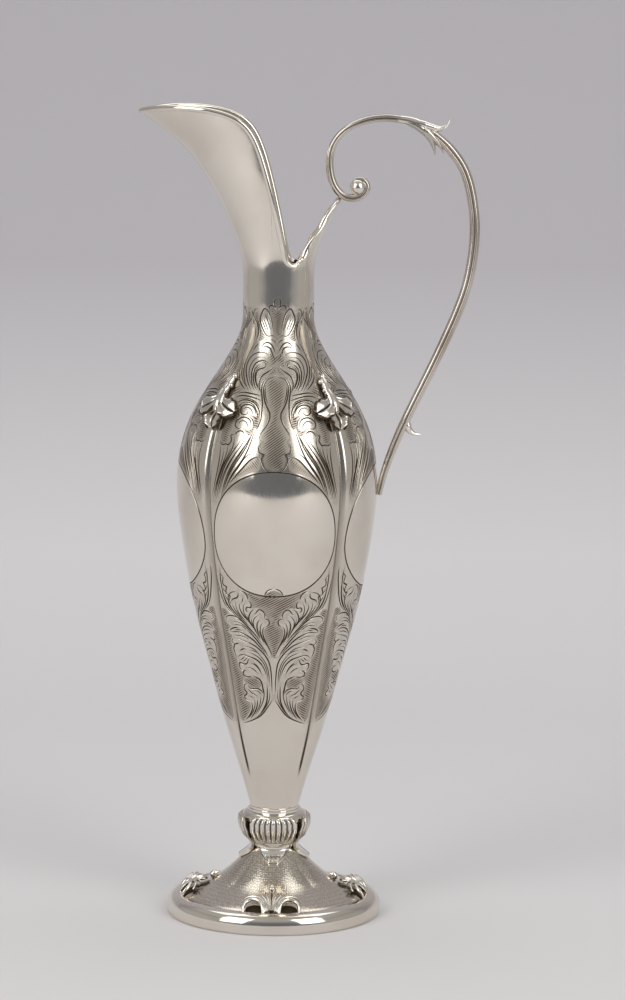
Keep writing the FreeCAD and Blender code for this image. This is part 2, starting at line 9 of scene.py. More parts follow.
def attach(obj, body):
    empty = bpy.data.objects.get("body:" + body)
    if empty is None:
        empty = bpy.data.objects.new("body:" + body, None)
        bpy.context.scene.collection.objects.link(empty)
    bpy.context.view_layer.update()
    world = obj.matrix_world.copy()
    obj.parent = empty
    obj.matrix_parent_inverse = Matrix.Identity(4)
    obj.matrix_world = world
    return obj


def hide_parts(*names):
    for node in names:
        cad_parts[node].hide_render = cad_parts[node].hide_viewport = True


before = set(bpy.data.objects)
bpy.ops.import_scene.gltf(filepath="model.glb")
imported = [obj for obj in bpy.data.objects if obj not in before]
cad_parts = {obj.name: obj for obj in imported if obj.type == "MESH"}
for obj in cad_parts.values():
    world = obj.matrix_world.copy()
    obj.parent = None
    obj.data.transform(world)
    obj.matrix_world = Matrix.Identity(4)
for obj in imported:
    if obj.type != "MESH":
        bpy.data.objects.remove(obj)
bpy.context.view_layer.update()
mm = 0.001
lobeCount = 4
quarter = math.pi / 2


def deselectAll():
    if bpy.context.object and bpy.context.object.mode != "OBJECT":
        bpy.ops.object.mode_set(mode="OBJECT")
    bpy.ops.object.select_all(action="DESELECT")


def activate(piece):
    deselectAll()
    piece.select_set(True)
    bpy.context.view_layer.objects.active = piece


def meshPiece(name, points, faces):  # points in millimetres
    mesh = bpy.data.meshes.new(name)
    mesh.from_pydata((np.asarray(points, float) * mm).tolist(), [], faces)
    mesh.update()
    piece = bpy.data.objects.new(name, mesh)
    bpy.context.scene.collection.objects.link(piece)
    return piece


def markOxideAndShade(piece, values):  # how dark each point is, oxide in hollows and painted shade, as a point attribute
    mark = piece.data.attributes.new("oxideAndShade", "FLOAT", "POINT")
    mark.data.foreach_set("value", np.asarray(values, float))


def cleanMesh(piece, angle, merge=0.00001):
    activate(piece)
    bpy.ops.object.mode_set(mode="EDIT")
    bpy.ops.mesh.select_all(action="SELECT")
    bpy.ops.mesh.remove_doubles(threshold=merge)
    bpy.ops.mesh.normals_make_consistent(inside=False)
    bpy.ops.object.mode_set(mode="OBJECT")
    bpy.ops.object.shade_smooth_by_angle(angle=math.radians(angle))


def applyModifier(piece, kind, **settings):
    activate(piece)
    modifier = piece.modifiers.new(kind.title(), kind)
    for key, value in settings.items():
        setattr(modifier, key, value)
    bpy.ops.object.modifier_apply(modifier=modifier.name)


def joined(pieces, name):
    deselectAll()
    for piece in pieces:
        piece.select_set(True)
    bpy.context.view_layer.objects.active = pieces[0]
    bpy.ops.object.join()
    pieces[0].name = name
    return pieces[0]


def seat(piece, slot, material, *nodes):
    piece.data.materials.clear()
    piece.data.materials.append(material)
    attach(piece, "root")
    if nodes:
        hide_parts(*nodes)
    return piece


def spline(knots, values):  # natural cubic through the knots
    x = np.array(knots, float)
    y = np.array(values, float)
    count = len(x)
    gap = np.diff(x)
    matrix = np.eye(count)
    right = np.zeros(count)
    for i in range(1, count - 1):
        matrix[i, i - 1:i + 2] = gap[i - 1], 2 * (gap[i - 1] + gap[i]), gap[i]
        right[i] = 6 * ((y[i + 1] - y[i]) / gap[i] - (y[i] - y[i - 1]) / gap[i - 1])
    bend = np.linalg.solve(matrix, right)

    def at(value):
        v = np.clip(np.asarray(value, float), x[0], x[-1])
        k = np.clip(np.searchsorted(x, v) - 1, 0, count - 2)
        a = x[k + 1] - v
        b = v - x[k]
        h = gap[k]
        curve = (bend[k] * a ** 3 + bend[k + 1] * b ** 3) / (6 * h)
        return curve + (y[k] / h - bend[k] * h / 6) * a + (y[k + 1] / h - bend[k + 1] * h / 6) * b

    return at


def walked(line):  # distance along a line at each of its points
    return np.concatenate([[0], np.cumsum(np.linalg.norm(np.diff(line, axis=0), axis=1))])


def smoothLine(points, count):  # evenly spaced points on a curve through the given ones
    p = np.array(points, float)
    reach = np.concatenate([[0], np.cumsum(np.linalg.norm(np.diff(p, axis=0), axis=1) ** 0.5)])
    fine = np.linspace(0, reach[-1], 40 * len(p))
    line = np.stack([spline(reach, p[:, k])(fine) for k in range(p.shape[1])], 1)
    length = walked(line)
    spots = np.linspace(0, length[-1], count)
    return np.stack([np.interp(spots, length, line[:, k]) for k in range(p.shape[1])], 1)


def gridFaces(rows, columns, closedColumns=False, closedRows=False):
    faces = []
    for i in range(rows if closedRows else rows - 1):
        for j in range(columns if closedColumns else columns - 1):
            a = i * columns + j
            b = i * columns + (j + 1) % columns
            c = ((i + 1) % rows) * columns + (j + 1) % columns
            d = ((i + 1) % rows) * columns + j
            faces.append((a, b, c, d))
    return faces


def sweep(name, path, rings):  # a closed bar: one ring of points for each point of its path
    rows, columns = rings.shape[:2]
    points = np.vstack([rings.reshape(-1, 3), path[:1], path[-1:]])
    faces = gridFaces(rows, columns, closedColumns=True)
    last = (rows - 1) * columns
    for j in range(columns):
        k = (j + 1) % columns
        faces.append((rows * columns, k, j))
        faces.append((rows * columns + 1, last + j, last + k))
    return meshPiece(name, points, faces)


def pathFrames(path):  # side and up along a path, turned as little as possible
    tangent = np.gradient(path, axis=0)
    tangent /= np.linalg.norm(tangent, axis=1)[:, None]
    side = np.zeros_like(path)
    guide = np.array([0.0, 1.0, 0.0]) if abs(tangent[0][1]) < 0.9 else np.array([1.0, 0.0, 0.0])
    for i, t in enumerate(tangent):
        guide = guide - t * (guide @ t)
        guide /= np.linalg.norm(guide)
        side[i] = guide
    return side, np.cross(tangent, side)


def turned(name, profile, steps, angle):  # a profile of (radius, height) spun round the axis
    piece = meshPiece(name, [(r, 0, z) for r, z in profile], [])
    mesh = piece.data
    mesh.edges.add(len(profile) - 1)
    for i in range(len(profile) - 1):
        mesh.edges[i].vertices = (i, i + 1)
    activate(piece)
    bpy.ops.object.mode_set(mode="EDIT")
    bpy.ops.mesh.select_all(action="SELECT")
    bpy.ops.mesh.spin(steps=steps, angle=2 * math.pi, center=(0, 0, 0), axis=(0, 0, 1))
    bpy.ops.object.mode_set(mode="OBJECT")
    cleanMesh(piece, angle)
    return piece


def quarterCopies(piece, names):  # copies round the axis, each with its own mesh
    copies = [piece]
    piece.name = names[0]
    for turn, name in enumerate(names[1:], 1):
        copy = piece.copy()
        copy.data = piece.data.copy()
        copy.name = name
        copy.data.transform(Matrix.Rotation(quarter * turn, 4, "Z"))
        bpy.context.scene.collection.objects.link(copy)
        copies.append(copy)
    return copies


# silver: warm tone, tarnish in soft clouds, fine scratches and shallow dents; oxide in the cuts and painted
# shade in grooves, gaps and under sides
silverLook = {
    "cloudScale": 38, "cloudDetail": 5, "cloudFrom": 0.45, "cloudTo": 0.8,
    "scratchScale": (2400, 2400, 260), "scratchDetail": 3, "scratchLow": -0.05, "scratchHigh": 0.06,
    "dentScale": 70, "dentDetail": 2, "dentDepth": 0.0006,
    "groundColour": (0.42, 0.37, 0.31, 1), "groundShare": 0.72, "groundRough": 0.26,
    "oxideShadeColour": (0.075, 0.055, 0.036, 1), "oxideShadeFull": 0.38, "oxideShadeRough": 0.55,
    "grainScale": 1250, "grainRandom": 0.55, "grainFrom": 0.15, "grainTo": 0.62,
    "grainColour": (0.56, 0.50, 0.41, 1), "grainStrength": 0.1, "grainDepth": 0.0003,
}


def addNode(tree, kind, inputs, **traits):  # inputs are linked where a socket is given
    node = tree.nodes.new("ShaderNode" + kind)
    for key, value in traits.items():
        setattr(node, key, value)
    for key, value in inputs.items():
        if isinstance(value, bpy.types.NodeSocket):
            tree.links.new(value, node.inputs[key])
        else:
            node.inputs[key].default_value = value
    return node


def silverGroup():
    look = silverLook
    group = bpy.data.node_groups.new("silverAge", "ShaderNodeTree")
    ways = {"INPUT": ("Clean", "Tarnish", "Polish", "Cloud"), "OUTPUT": ("Color", "Roughness", "Height")}
    for way, names in ways.items():
        for name in names:
            kind = "NodeSocketColor" if name in ("Clean", "Tarnish", "Color") else "NodeSocketFloat"
            group.interface.new_socket(name, in_out=way, socket_type=kind)
    entry = group.nodes.new("NodeGroupInput").outputs
    leave = group.nodes.new("NodeGroupOutput").inputs
    place = addNode(group, "TexCoord", {}).outputs["Object"]
    cloud = addNode(group, "TexNoise", {
        "Vector": place, "Scale": look["cloudScale"], "Detail": look["cloudDetail"],
    })
    spread = addNode(group, "MapRange", {
        "Value": cloud.outputs["Fac"], "From Min": look["cloudFrom"], "From Max": look["cloudTo"],
    })
    amount = addNode(group, "Math", {0: spread.outputs["Result"], 1: entry["Cloud"]}, operation="MULTIPLY")
    tone = addNode(group, "Mix", {
        "Factor": amount.outputs["Value"], 6: entry["Clean"], 7: entry["Tarnish"],
    }, data_type="RGBA")
    stretch = addNode(group, "Mapping", {"Vector": place, "Scale": look["scratchScale"]})
    scratch = addNode(group, "TexNoise", {
        "Vector": stretch.outputs["Vector"], "Scale": 1, "Detail": look["scratchDetail"],
    })
    wear = addNode(group, "MapRange", {
        "Value": scratch.outputs["Fac"], "To Min": look["scratchLow"], "To Max": look["scratchHigh"],
    })
    rough = addNode(group, "Math", {0: wear.outputs["Result"], 1: entry["Polish"]}, operation="ADD")
    dents = addNode(group, "TexNoise", {
        "Vector": place, "Scale": look["dentScale"], "Detail": look["dentDetail"],
    })
    group.links.new(tone.outputs[2], leave["Color"])
    group.links.new(rough.outputs["Value"], leave["Roughness"])
    group.links.new(dents.outputs["Fac"], leave["Height"])
    return group


silverAge = silverGroup()


def silverMaterial(name, clean, tarnish, polish, cloud, bump):
    material = bpy.data.materials.new(name)
    material.use_nodes = True
    tree = material.node_tree
    shader = tree.nodes["Principled BSDF"]
    shader.inputs["Metallic"].default_value = 1.0
    age = tree.nodes.new("ShaderNodeGroup")
    age.node_tree = silverAge
    age.inputs["Clean"].default_value = (*clean, 1)
    age.inputs["Tarnish"].default_value = (*tarnish, 1)
    age.inputs["Polish"].default_value = polish
    age.inputs["Cloud"].default_value = cloud
    tree.links.new(age.outputs["Color"], shader.inputs["Base Color"])
    tree.links.new(age.outputs["Roughness"], shader.inputs["Roughness"])
    dent = addNode(tree, "Bump", {
        "Strength": bump, "Distance": silverLook["dentDepth"], "Height": age.outputs["Height"],
    })
    tree.links.new(dent.outputs["Normal"], shader.inputs["Normal"])
    return material


def silverParts(material):  # the tree, its shader and its silver group
    tree = material.node_tree
    return tree, tree.nodes["Principled BSDF"], next(n for n in tree.nodes if n.type == "GROUP")


def darkenOxideAndShade(material):  # oxide left in the cuts, painted shade in the grooves, gaps and under sides, and a duller engraved ground
    look = silverLook
    tree, shader, age = silverParts(material)
    oxideAndShade = addNode(tree, "Attribute", {}, attribute_name="oxideAndShade").outputs["Fac"]
    field = addNode(tree, "Attribute", {}, attribute_name="ground").outputs["Fac"]
    part = addNode(tree, "Math", {0: field, 1: look["groundShare"]}, operation="MULTIPLY")
    dull = addNode(tree, "Mix", {
        "Factor": part.outputs["Value"], 6: age.outputs["Color"], 7: look["groundColour"],
    }, data_type="RGBA")
    reach = addNode(tree, "MapRange", {"Value": oxideAndShade, "From Max": look["oxideShadeFull"]})
    dark = addNode(tree, "Mix", {
        "Factor": reach.outputs["Result"], 6: dull.outputs[2], 7: look["oxideShadeColour"],
    }, data_type="RGBA")
    tree.links.new(dark.outputs[2], shader.inputs["Base Color"])
    oxideShadeRoughness = addNode(tree, "MapRange", {"Value": oxideAndShade, "To Max": look["oxideShadeRough"]})
    groundRough = addNode(tree, "Math", {
        0: field, 1: look["groundRough"], 2: age.outputs["Roughness"],
    }, operation="MULTIPLY_ADD")
    total = addNode(
        tree, "Math", {0: groundRough.outputs["Value"], 1: oxideShadeRoughness.outputs["Result"]}, operation="ADD",
    )
    tree.links.new(total.outputs["Value"], shader.inputs["Roughness"])


def punchGround(material):  # a fine punched grain, as height and as a darker tone
    look = silverLook
    tree, shader, age = silverParts(material)
    place = addNode(tree, "TexCoord", {}).outputs["Object"]
    cells = addNode(tree, "TexVoronoi", {
        "Vector": place, "Scale": look["grainScale"], "Randomness": look["grainRandom"],
    })
    dots = addNode(tree, "MapRange", {
        "Value": cells.outputs["Distance"], "From Min": look["grainFrom"], "From Max": look["grainTo"],
    }).outputs["Result"]
    tone = addNode(
        tree, "Mix", {"Factor": dots, 6: age.outputs["Color"], 7: look["grainColour"]}, data_type="RGBA",
    )
    tree.links.new(tone.outputs[2], shader.inputs["Base Color"])
    grain = addNode(tree, "Bump", {
        "Strength": look["grainStrength"], "Distance": look["grainDepth"], "Height": dots,
    }, invert=True)
    tree.links.new(grain.outputs["Normal"], shader.inputs["Normal"])


polishedSilver = silverMaterial("polishedSilver", (0.81, 0.762, 0.685), (0.56, 0.49, 0.40), 0.1, 0.45, 0.08)
castSilver = silverMaterial("castSilver", (0.84, 0.80, 0.73), (0.42, 0.37, 0.30), 0.18, 0.5, 0.2)
engravedSilver = silverMaterial("engravedSilver", (0.81, 0.762, 0.685), (0.56, 0.49, 0.40), 0.1, 0.45, 0.06)
hatchedSilver = silverMaterial("hatchedSilver", (0.86, 0.81, 0.73), (0.56, 0.50, 0.41), 0.14, 0.5, 0.2)
barSilver = silverMaterial("barSilver", (0.69, 0.64, 0.58), (0.36, 0.30, 0.24), 0.22, 0.8, 0.35)
for silver in (engravedSilver, castSilver, barSilver):
    darkenOxideAndShade(silver)
punchGround(hatchedSilver)
print("silver made")

# body: height, lobe radius and groove share, and the narrow channel along each groove
body = {
    "rows": [
        (43.0, 9.6, 1.0), (55.7, 13.24, 1.0), (74.75, 19.2, 0.967), (100.15, 26.17, 0.931),
        (125.55, 32.78, 0.912), (148.4, 37.08, 0.906), (170.0, 39.4, 0.905), (186.0, 38.07, 0.905),
        (197.2, 34.56, 0.907), (206.8, 29.58, 0.913), (216.4, 23.44, 0.923), (226.0, 17.57, 0.94),
        (235.6, 14.1, 0.965), (243.0, 13.93, 0.988), (250.0, 13.9, 1.0),
    ],
    "wall": 1.2,
    "floor": 45.0, "wallRows": 70, "lowestInside": 44.5, "outerRows": 110,
    "channelShare": 0.34,
    "channelWidth": 1.3, "channelFoot": 52, "channelRun": 60, "channelLeast": 0.25,
    # painted shade in each groove: a dark line, a darker wedge low down and a brown band beside it
    "darkWidth": 0.9, "dark": 0.26, "wedge": 0.4, "wedgeTop": 84, "toneRun": 14,
    "brownWidth": 2.6, "brown": 0.17, "brownFoot": 70,
    "toneFoot": 56, "toneFootRun": 6, "toneHead": 243, "toneHeadRun": 20,
}
bodyLow = body["rows"][0][0]
bodyHigh = body["rows"][-1][0]
lobeRadius = spline([row[0] for row in body["rows"]], [row[1] for row in body["rows"]])
grooveShare = spline([row[0] for row in body["rows"]], [row[2] for row in body["rows"]])


def bodyRadius(phi, z, wall=0.0):
    r = lobeRadius(z) - wall
    share = np.minimum(grooveShare(z), 1.0)
    broad = share + (1 - share) * body["channelShare"]
    offset = r * (1 - broad ** 2) / (2 * (1 - broad * math.sqrt(0.5)))
    lobe = offset * np.cos(phi) + np.sqrt((r - offset) ** 2 - (offset * np.sin(phi)) ** 2)
    away = (math.pi / 4 - np.abs(phi)) * r
    width = body["channelWidth"] * np.clip(
        (z - body["channelFoot"]) / body["channelRun"], body["channelLeast"], 1,
    )
    return lobe - (broad - share) * r * np.exp(-(away / width) ** 2)


def bodyPoint(phi, z, wall=0.0):  # on the front panel, phi from its middle
    r = bodyRadius(phi, z, wall)
    return np.stack([r * np.sin(phi), -r * np.cos(phi), z + 0 * phi], -1)


# ornament of one panel, right half, as (distance from the middle, height); the left half mirrors it
ornament = {
    "oval": {"middle": 156.75, "wide": 23.4, "tall": 24.5, "power": 2.25},
    "bold": [
        [
            (16.4, 127.9), (17.4, 130.1), (17.0, 131.7), (18.1, 131.7), (18.8, 133.7), (18.5, 135.1),
            (19.5, 135.3), (20.1, 137.3), (19.9, 138.7), (20.7, 139.3), (21.2, 141.5),
        ],
        [
            (0.4, 90.0), (1.2, 88.4), (2.6, 86.2), (4.2, 83.9), (6.0, 82.2), (7.6, 81.2), (9.4, 80.2),
            (12.0, 79.0),
        ],
        [(2.6, 96.0), (2.5, 92.0), (2.7, 89.0), (3.3, 87.2), (4.4, 85.0), (6.0, 82.7)],
        [(6.3, 89.8), (6.4, 87.5), (6.9, 85.5), (7.8, 83.5), (9.2, 81.2)],
        [(8.9, 88.6), (8.4, 87.0), (8.4, 85.4), (9.0, 83.6), (10.0, 81.9), (11.5, 80.1)],
        [(4.2, 92.0), (4.6, 93.1), (5.4, 93.9), (7.0, 94.2), (8.6, 94.0), (9.7, 94.6), (9.9, 95.6)],
        [
            (10.1, 95.8), (11.2, 95.6), (11.7, 94.6), (11.4, 93.2), (10.5, 92.1), (10.8, 91.3),
            (11.6, 90.5), (10.9, 89.4), (9.8, 89.0), (8.9, 88.6),
        ],
        [(3.6, 91.0), (4.1, 93.4), (4.4, 95.4), (4.8, 97.0), (5.6, 98.2), (6.8, 98.9), (8.4, 99.4)],
        [(8.4, 99.4), (9.4, 98.9), (10.8, 98.8), (11.9, 99.5), (12.0, 100.6), (11.4, 101.4), (10.2, 101.2)],
        [
            (12.0, 101.0), (13.0, 101.8), (13.6, 103.2), (13.4, 104.4), (12.2, 104.1), (11.0, 104.0),
            (10.3, 104.6), (10.0, 105.8), (9.2, 106.6),
        ],
        [
            (2.8, 99.6), (3.4, 101.6), (4.4, 103.8), (5.6, 105.3), (7.2, 106.5), (9.2, 107.1),
            (11.0, 107.6), (12.4, 107.8), (13.6, 107.2), (14.3, 106.2),
        ],
        [
            (0.6, 92.0), (0.8, 98.0), (1.0, 101.0), (1.5, 104.2), (2.4, 106.6), (3.8, 108.7),
            (5.6, 110.6), (7.6, 112.1), (9.6, 113.0), (11.6, 113.6), (13.6, 114.2), (15.8, 114.5),
        ],
        [
            (15.8, 114.5), (16.4, 113.4), (16.3, 112.3), (15.4, 111.7), (15.7, 110.4), (15.5, 108.9),
            (15.0, 107.4), (14.3, 106.2),
        ],
        [(11.0, 110.4), (12.4, 110.1), (13.3, 109.2)],
        [(13.4, 112.4), (14.8, 112.1), (15.6, 111.4)],
        [
            (3.0, 108.4), (4.4, 110.5), (5.8, 112.0), (7.2, 113.6), (8.9, 115.0), (10.8, 116.1),
            (12.6, 116.8), (14.4, 117.1), (17.2, 116.6),
        ],
        [(17.2, 116.6), (17.0, 117.6), (16.2, 118.3), (15.2, 118.7), (13.6, 118.7)],
        [(2.0, 107.4), (3.2, 109.8), (4.6, 111.8), (6.2, 113.9), (7.8, 115.8), (9.2, 117.2), (10.6, 118.3)],
        [
            (4.4, 112.6), (6.2, 115.2), (8.2, 117.6), (10.4, 119.9), (12.4, 121.7), (14.4, 123.0),
            (16.6, 123.5), (18.2, 123.1), (18.9, 122.1), (18.6, 121.0), (17.4, 120.7),
        ],
        [(0.6, 108.0), (1.6, 110.6), (3.0, 113.4), (4.0, 116.0), (4.3, 118.0), (4.0, 119.4), (3.2, 120.1)],
        [(3.2, 120.1), (2.2, 120.4), (1.7, 121.5), (1.9, 122.6), (2.8, 123.2), (3.8, 123.3)],
        [(5.2, 114.6), (6.0, 117.2), (6.5, 119.4), (6.4, 121.2), (5.9, 122.3), (5.2, 122.8)],
        [
            (3.8, 123.3), (3.4, 124.3), (3.6, 125.5), (4.5, 126.5), (5.6, 126.9), (6.4, 126.3),
            (7.0, 125.4), (7.9, 124.7),
        ],
        [
            (6.4, 117.0), (7.8, 119.4), (8.9, 121.0), (9.6, 122.3), (9.7, 123.6), (9.3, 125.0),
            (8.6, 126.2), (7.4, 127.0),
        ],
        [
            (9.6, 125.4), (10.6, 126.0), (10.9, 126.9), (10.4, 127.6), (9.2, 127.3), (8.8, 128.4),
            (9.0, 129.6), (10.1, 130.4),
        ],
        [(10.1, 130.4), (10.3, 131.8), (10.8, 133.0), (12.0, 133.8), (13.4, 133.9)],
        [
            (7.4, 118.8), (9.6, 121.8), (11.2, 123.5), (12.4, 125.0), (13.2, 126.6), (13.5, 128.0),
            (13.1, 129.2),
        ],
        [
            (9.4, 119.8), (11.6, 121.8), (13.6, 123.4), (15.4, 125.1), (16.8, 126.9), (17.7, 128.8),
            (17.9, 130.7), (17.4, 132.3), (16.0, 133.3), (14.2, 133.4),
        ],
        [(14.2, 133.4), (13.9, 132.2), (14.4, 131.1), (15.5, 130.6), (16.4, 130.0), (16.4, 129.0)],
        [
            (13.0, 121.9), (15.4, 124.2), (17.6, 126.6), (19.2, 129.6), (20.2, 133.2), (20.9, 138.0),
            (21.3, 143.0),
        ],
        [(15.6, 123.9), (17.8, 125.8), (19.6, 128.6), (21.0, 132.4), (22.2, 137.6), (22.9, 143.0)],
        [
            (9.0, 195.4), (10.4, 192.6), (12.2, 190.0), (14.0, 187.4), (15.8, 184.7), (17.3, 182.0),
            (18.6, 179.0), (19.8, 175.0), (20.8, 170.0),
        ],
        [
            (8.2, 196.6), (9.6, 193.6), (11.2, 190.2), (13.0, 187.2), (14.6, 184.8), (16.2, 182.3),
            (17.6, 179.6), (19.0, 176.0), (20.2, 171.0),
        ],
        [
            (7.4, 197.4), (8.6, 194.2), (10.0, 190.4), (11.4, 187.4), (12.8, 185.1), (14.4, 182.8),
            (16.0, 180.5), (17.6, 177.6), (19.2, 173.6),
        ],
        [
            (11.0, 194.2), (12.4, 191.9), (13.6, 190.0), (15.4, 187.6), (17.0, 185.2), (18.5, 182.6),
            (19.8, 179.6), (21.0, 175.6), (21.9, 170.6),
        ],
        [
            (13.0, 193.6), (13.9, 191.7), (15.2, 189.9), (16.8, 187.6), (18.2, 185.0), (19.6, 182.0),
            (20.8, 178.4), (21.9, 174.0), (22.6, 169.0),
        ],
        [
            (15.7, 194.4), (15.9, 191.4), (16.8, 188.9), (18.2, 186.2), (19.8, 182.9), (21.2, 179.2),
            (22.4, 174.6), (23.2, 169.0),
        ],
        [
            (18.2, 190.7), (18.5, 188.4), (19.3, 186.0), (20.4, 183.0), (21.6, 179.4), (22.8, 175.0),
            (23.8, 169.0),
        ],
        [(21.2, 191.4), (21.2, 188.4), (21.6, 184.6), (22.3, 180.6), (23.2, 176.2), (24.2, 170.6)],
        [
            (15.7, 194.4), (16.4, 194.9), (17.2, 194.2), (16.8, 192.8), (17.6, 191.4), (18.2, 190.7),
            (19.2, 191.1), (20.2, 190.6), (21.2, 191.4), (21.6, 192.6),
        ],
        [
            (8.7, 188.2), (10.4, 187.4), (12.4, 185.2), (14.2, 182.4), (16.2, 179.6), (18.0, 176.4),
            (19.6, 172.4),
        ],
        [(5.2, 186.9), (7.2, 186.8), (9.4, 185.6), (12.0, 182.8), (14.6, 179.8), (17.2, 176.6)],
        [
            (0.0, 217.2), (1.2, 216.3), (2.6, 215.9), (3.8, 215.0), (4.6, 213.4), (4.8, 211.2),
            (4.3, 208.0), (3.2, 205.2), (2.2, 203.2), (2.3, 201.0), (3.2, 199.0), (4.6, 196.9),
            (5.8, 195.0), (5.9, 193.6), (5.0, 192.6),
        ],
        [
            (5.0, 192.6), (5.8, 191.4), (6.3, 189.8), (5.6, 188.3), (4.2, 188.0), (5.0, 186.6),
            (4.7, 184.4), (3.6, 182.4), (1.8, 181.4), (0.0, 181.2),
        ],
        [
            (3.2, 216.4), (4.6, 215.2), (5.5, 213.4), (5.6, 211.0), (5.2, 207.6), (5.3, 204.0),
            (5.6, 200.8), (6.6, 198.2), (7.6, 196.4),
        ],
        [
            (6.0, 201.6), (6.2, 203.6), (6.9, 205.3), (8.1, 206.7), (9.9, 207.5), (12.2, 207.7),
            (14.2, 206.9), (15.4, 205.4),
        ],
        [
            (7.6, 202.4), (7.9, 204.2), (9.0, 205.6), (10.8, 206.1), (12.6, 205.6), (13.6, 204.2),
            (13.2, 202.7), (11.8, 202.3), (10.7, 203.0), (10.8, 204.2),
        ],
        [
            (9.2, 198.0), (9.6, 200.2), (10.8, 201.2), (12.6, 201.4), (14.2, 200.6), (15.4, 199.2),
            (15.2, 197.6), (13.8, 197.2), (12.8, 198.0),
        ],
        [(11.6, 195.2), (12.6, 196.2), (14.2, 196.2), (15.7, 194.4)],
        [(5.4, 209.4), (7.2, 209.8), (9.4, 210.1), (11.6, 210.4), (13.8, 210.2), (15.4, 209.4)],
        [(5.3, 207.6), (7.2, 208.3), (9.6, 208.9), (12.2, 209.2), (14.6, 208.8), (16.0, 207.8)],
        [
            (0.6, 220.6), (1.8, 219.5), (3.2, 218.3), (4.8, 217.3), (6.0, 216.0), (6.6, 214.2),
            (6.4, 212.0), (5.8, 210.4),
        ],
        [
            (6.2, 211.2), (7.2, 213.0), (7.9, 214.8), (8.0, 216.6), (7.6, 218.1), (6.8, 219.0),
            (5.6, 219.4), (4.6, 219.9), (4.2, 220.9), (4.7, 221.7), (5.6, 221.4),
        ],
        [(7.4, 211.2), (8.4, 213.2), (8.9, 215.2), (8.9, 217.2), (8.4, 218.9), (7.4, 220.2), (6.2, 220.9)],
        [
            (8.2, 210.8), (9.3, 213.4), (9.7, 216.0), (9.6, 218.2), (8.9, 220.0), (7.8, 221.4),
            (6.4, 222.1), (4.8, 222.3), (3.6, 221.6), (3.4, 220.6),
        ],
        [
            (9.4, 210.8), (10.8, 213.4), (11.6, 216.0), (11.9, 218.6), (11.5, 220.8), (10.6, 222.7),
            (9.4, 224.1), (7.8, 225.0), (6.0, 225.3), (4.2, 225.0), (3.0, 224.0),
        ],
        [
            (10.6, 211.0), (12.0, 213.6), (12.7, 216.4), (12.7, 219.4), (12.0, 222.0), (10.9, 224.6),
            (9.6, 227.0), (8.4, 228.8),
        ],
        [(11.8, 211.2), (13.4, 213.0), (14.4, 215.2), (14.4, 217.8), (13.6, 220.6)],
        [(3.0, 224.0), (2.2, 225.4), (2.6, 226.8), (4.2, 227.4), (6.0, 226.9)],
        [(6.0, 226.9), (5.2, 228.4), (3.8, 229.0), (2.4, 228.4), (1.4, 227.0), (0.6, 225.2)],
        [
            (0.5, 230.2), (1.8, 231.7), (3.4, 231.3), (4.9, 232.6), (6.0, 234.8), (6.8, 237.6),
            (6.2, 240.0), (5.0, 241.9), (3.4, 240.4), (2.4, 237.6), (1.9, 234.6), (1.8, 231.7),
        ],
        [
            (8.4, 228.8), (7.6, 231.2), (7.4, 233.6), (8.0, 236.0), (9.0, 237.8), (9.4, 239.8),
            (8.6, 241.6), (7.4, 241.0),
        ],
        [(0.0, 246.6), (1.0, 245.6), (1.3, 244.0), (0.8, 242.4), (0.2, 241.2)],
        [(0.8, 242.4), (2.0, 243.2), (3.0, 243.0), (3.4, 242.0), (2.7, 241.4)],
        [(3.7, 132.5), (3.1, 133.8), (1.7, 135.0), (0.0, 135.4)],
    ],
    "fine": [
        [(18.2, 127.3), (19.3, 130.1), (20.2, 133.3), (20.9, 136.9), (21.5, 140.5)],
        [(17.4, 128.7), (18.3, 130.1), (19.2, 131.7)],
        [(18.5, 132.1), (19.3, 133.1), (20.0, 134.7)],
        [(4.0, 95.0), (3.7, 92.4), (4.0, 89.8), (4.7, 87.6), (5.8, 85.2), (6.6, 83.6)],
        [(5.0, 91.6), (5.2, 88.6), (5.8, 86.4), (6.6, 84.6), (7.6, 82.8)],
        [(7.6, 89.8), (7.3, 87.8), (7.7, 85.6), (8.6, 83.4), (10.0, 81.2)],
        [(1.6, 93.6), (1.6, 90.6), (2.3, 88.2), (3.5, 86.0), (5.2, 83.6), (7.2, 81.9)],
        [(4.9, 91.4), (5.4, 92.6), (6.6, 93.2), (8.0, 93.0)],
        [(6.4, 90.8), (7.2, 91.6), (8.2, 91.9), (9.4, 93.0), (10.4, 93.8)],
        [(7.6, 89.8), (8.6, 90.6), (9.8, 91.0)],
        [(1.7, 96.0), (1.8, 99.4), (2.3, 102.6), (3.3, 105.2), (4.6, 107.2), (6.4, 109.0)],
        [(2.2, 97.0), (2.6, 101.0), (3.6, 104.2), (5.2, 106.6), (7.4, 108.2), (9.6, 108.9), (11.4, 108.9)],
        [(5.2, 101.2), (6.2, 103.0), (7.6, 104.2), (9.0, 104.6)],
        [(6.2, 100.4), (7.4, 101.8), (9.0, 102.6), (10.8, 102.6)],
        [(4.6, 99.8), (5.4, 102.0), (6.8, 104.0), (8.2, 105.2)],
        [(6.0, 109.4), (8.0, 110.7), (10.0, 111.3), (12.2, 111.4)],
        [(5.2, 108.4), (7.4, 109.7), (9.4, 110.1)],
        [(9.0, 114.2), (11.0, 115.0), (13.0, 115.6), (15.4, 115.6)],
        [(10.4, 106.8), (11.2, 105.8), (12.2, 105.0)],
        [(11.4, 107.2), (12.2, 106.2), (13.2, 105.4)],
        [(8.0, 116.6), (10.2, 118.9), (12.4, 120.4), (14.6, 121.2), (16.4, 121.2)],
        [(7.2, 116.4), (9.2, 118.6), (11.4, 120.8), (13.4, 122.0), (15.4, 122.4)],
        [(10.2, 118.0), (12.2, 119.5), (14.2, 120.0), (16.0, 119.7)],
        [(11.8, 117.4), (13.6, 118.0), (15.4, 117.7)],
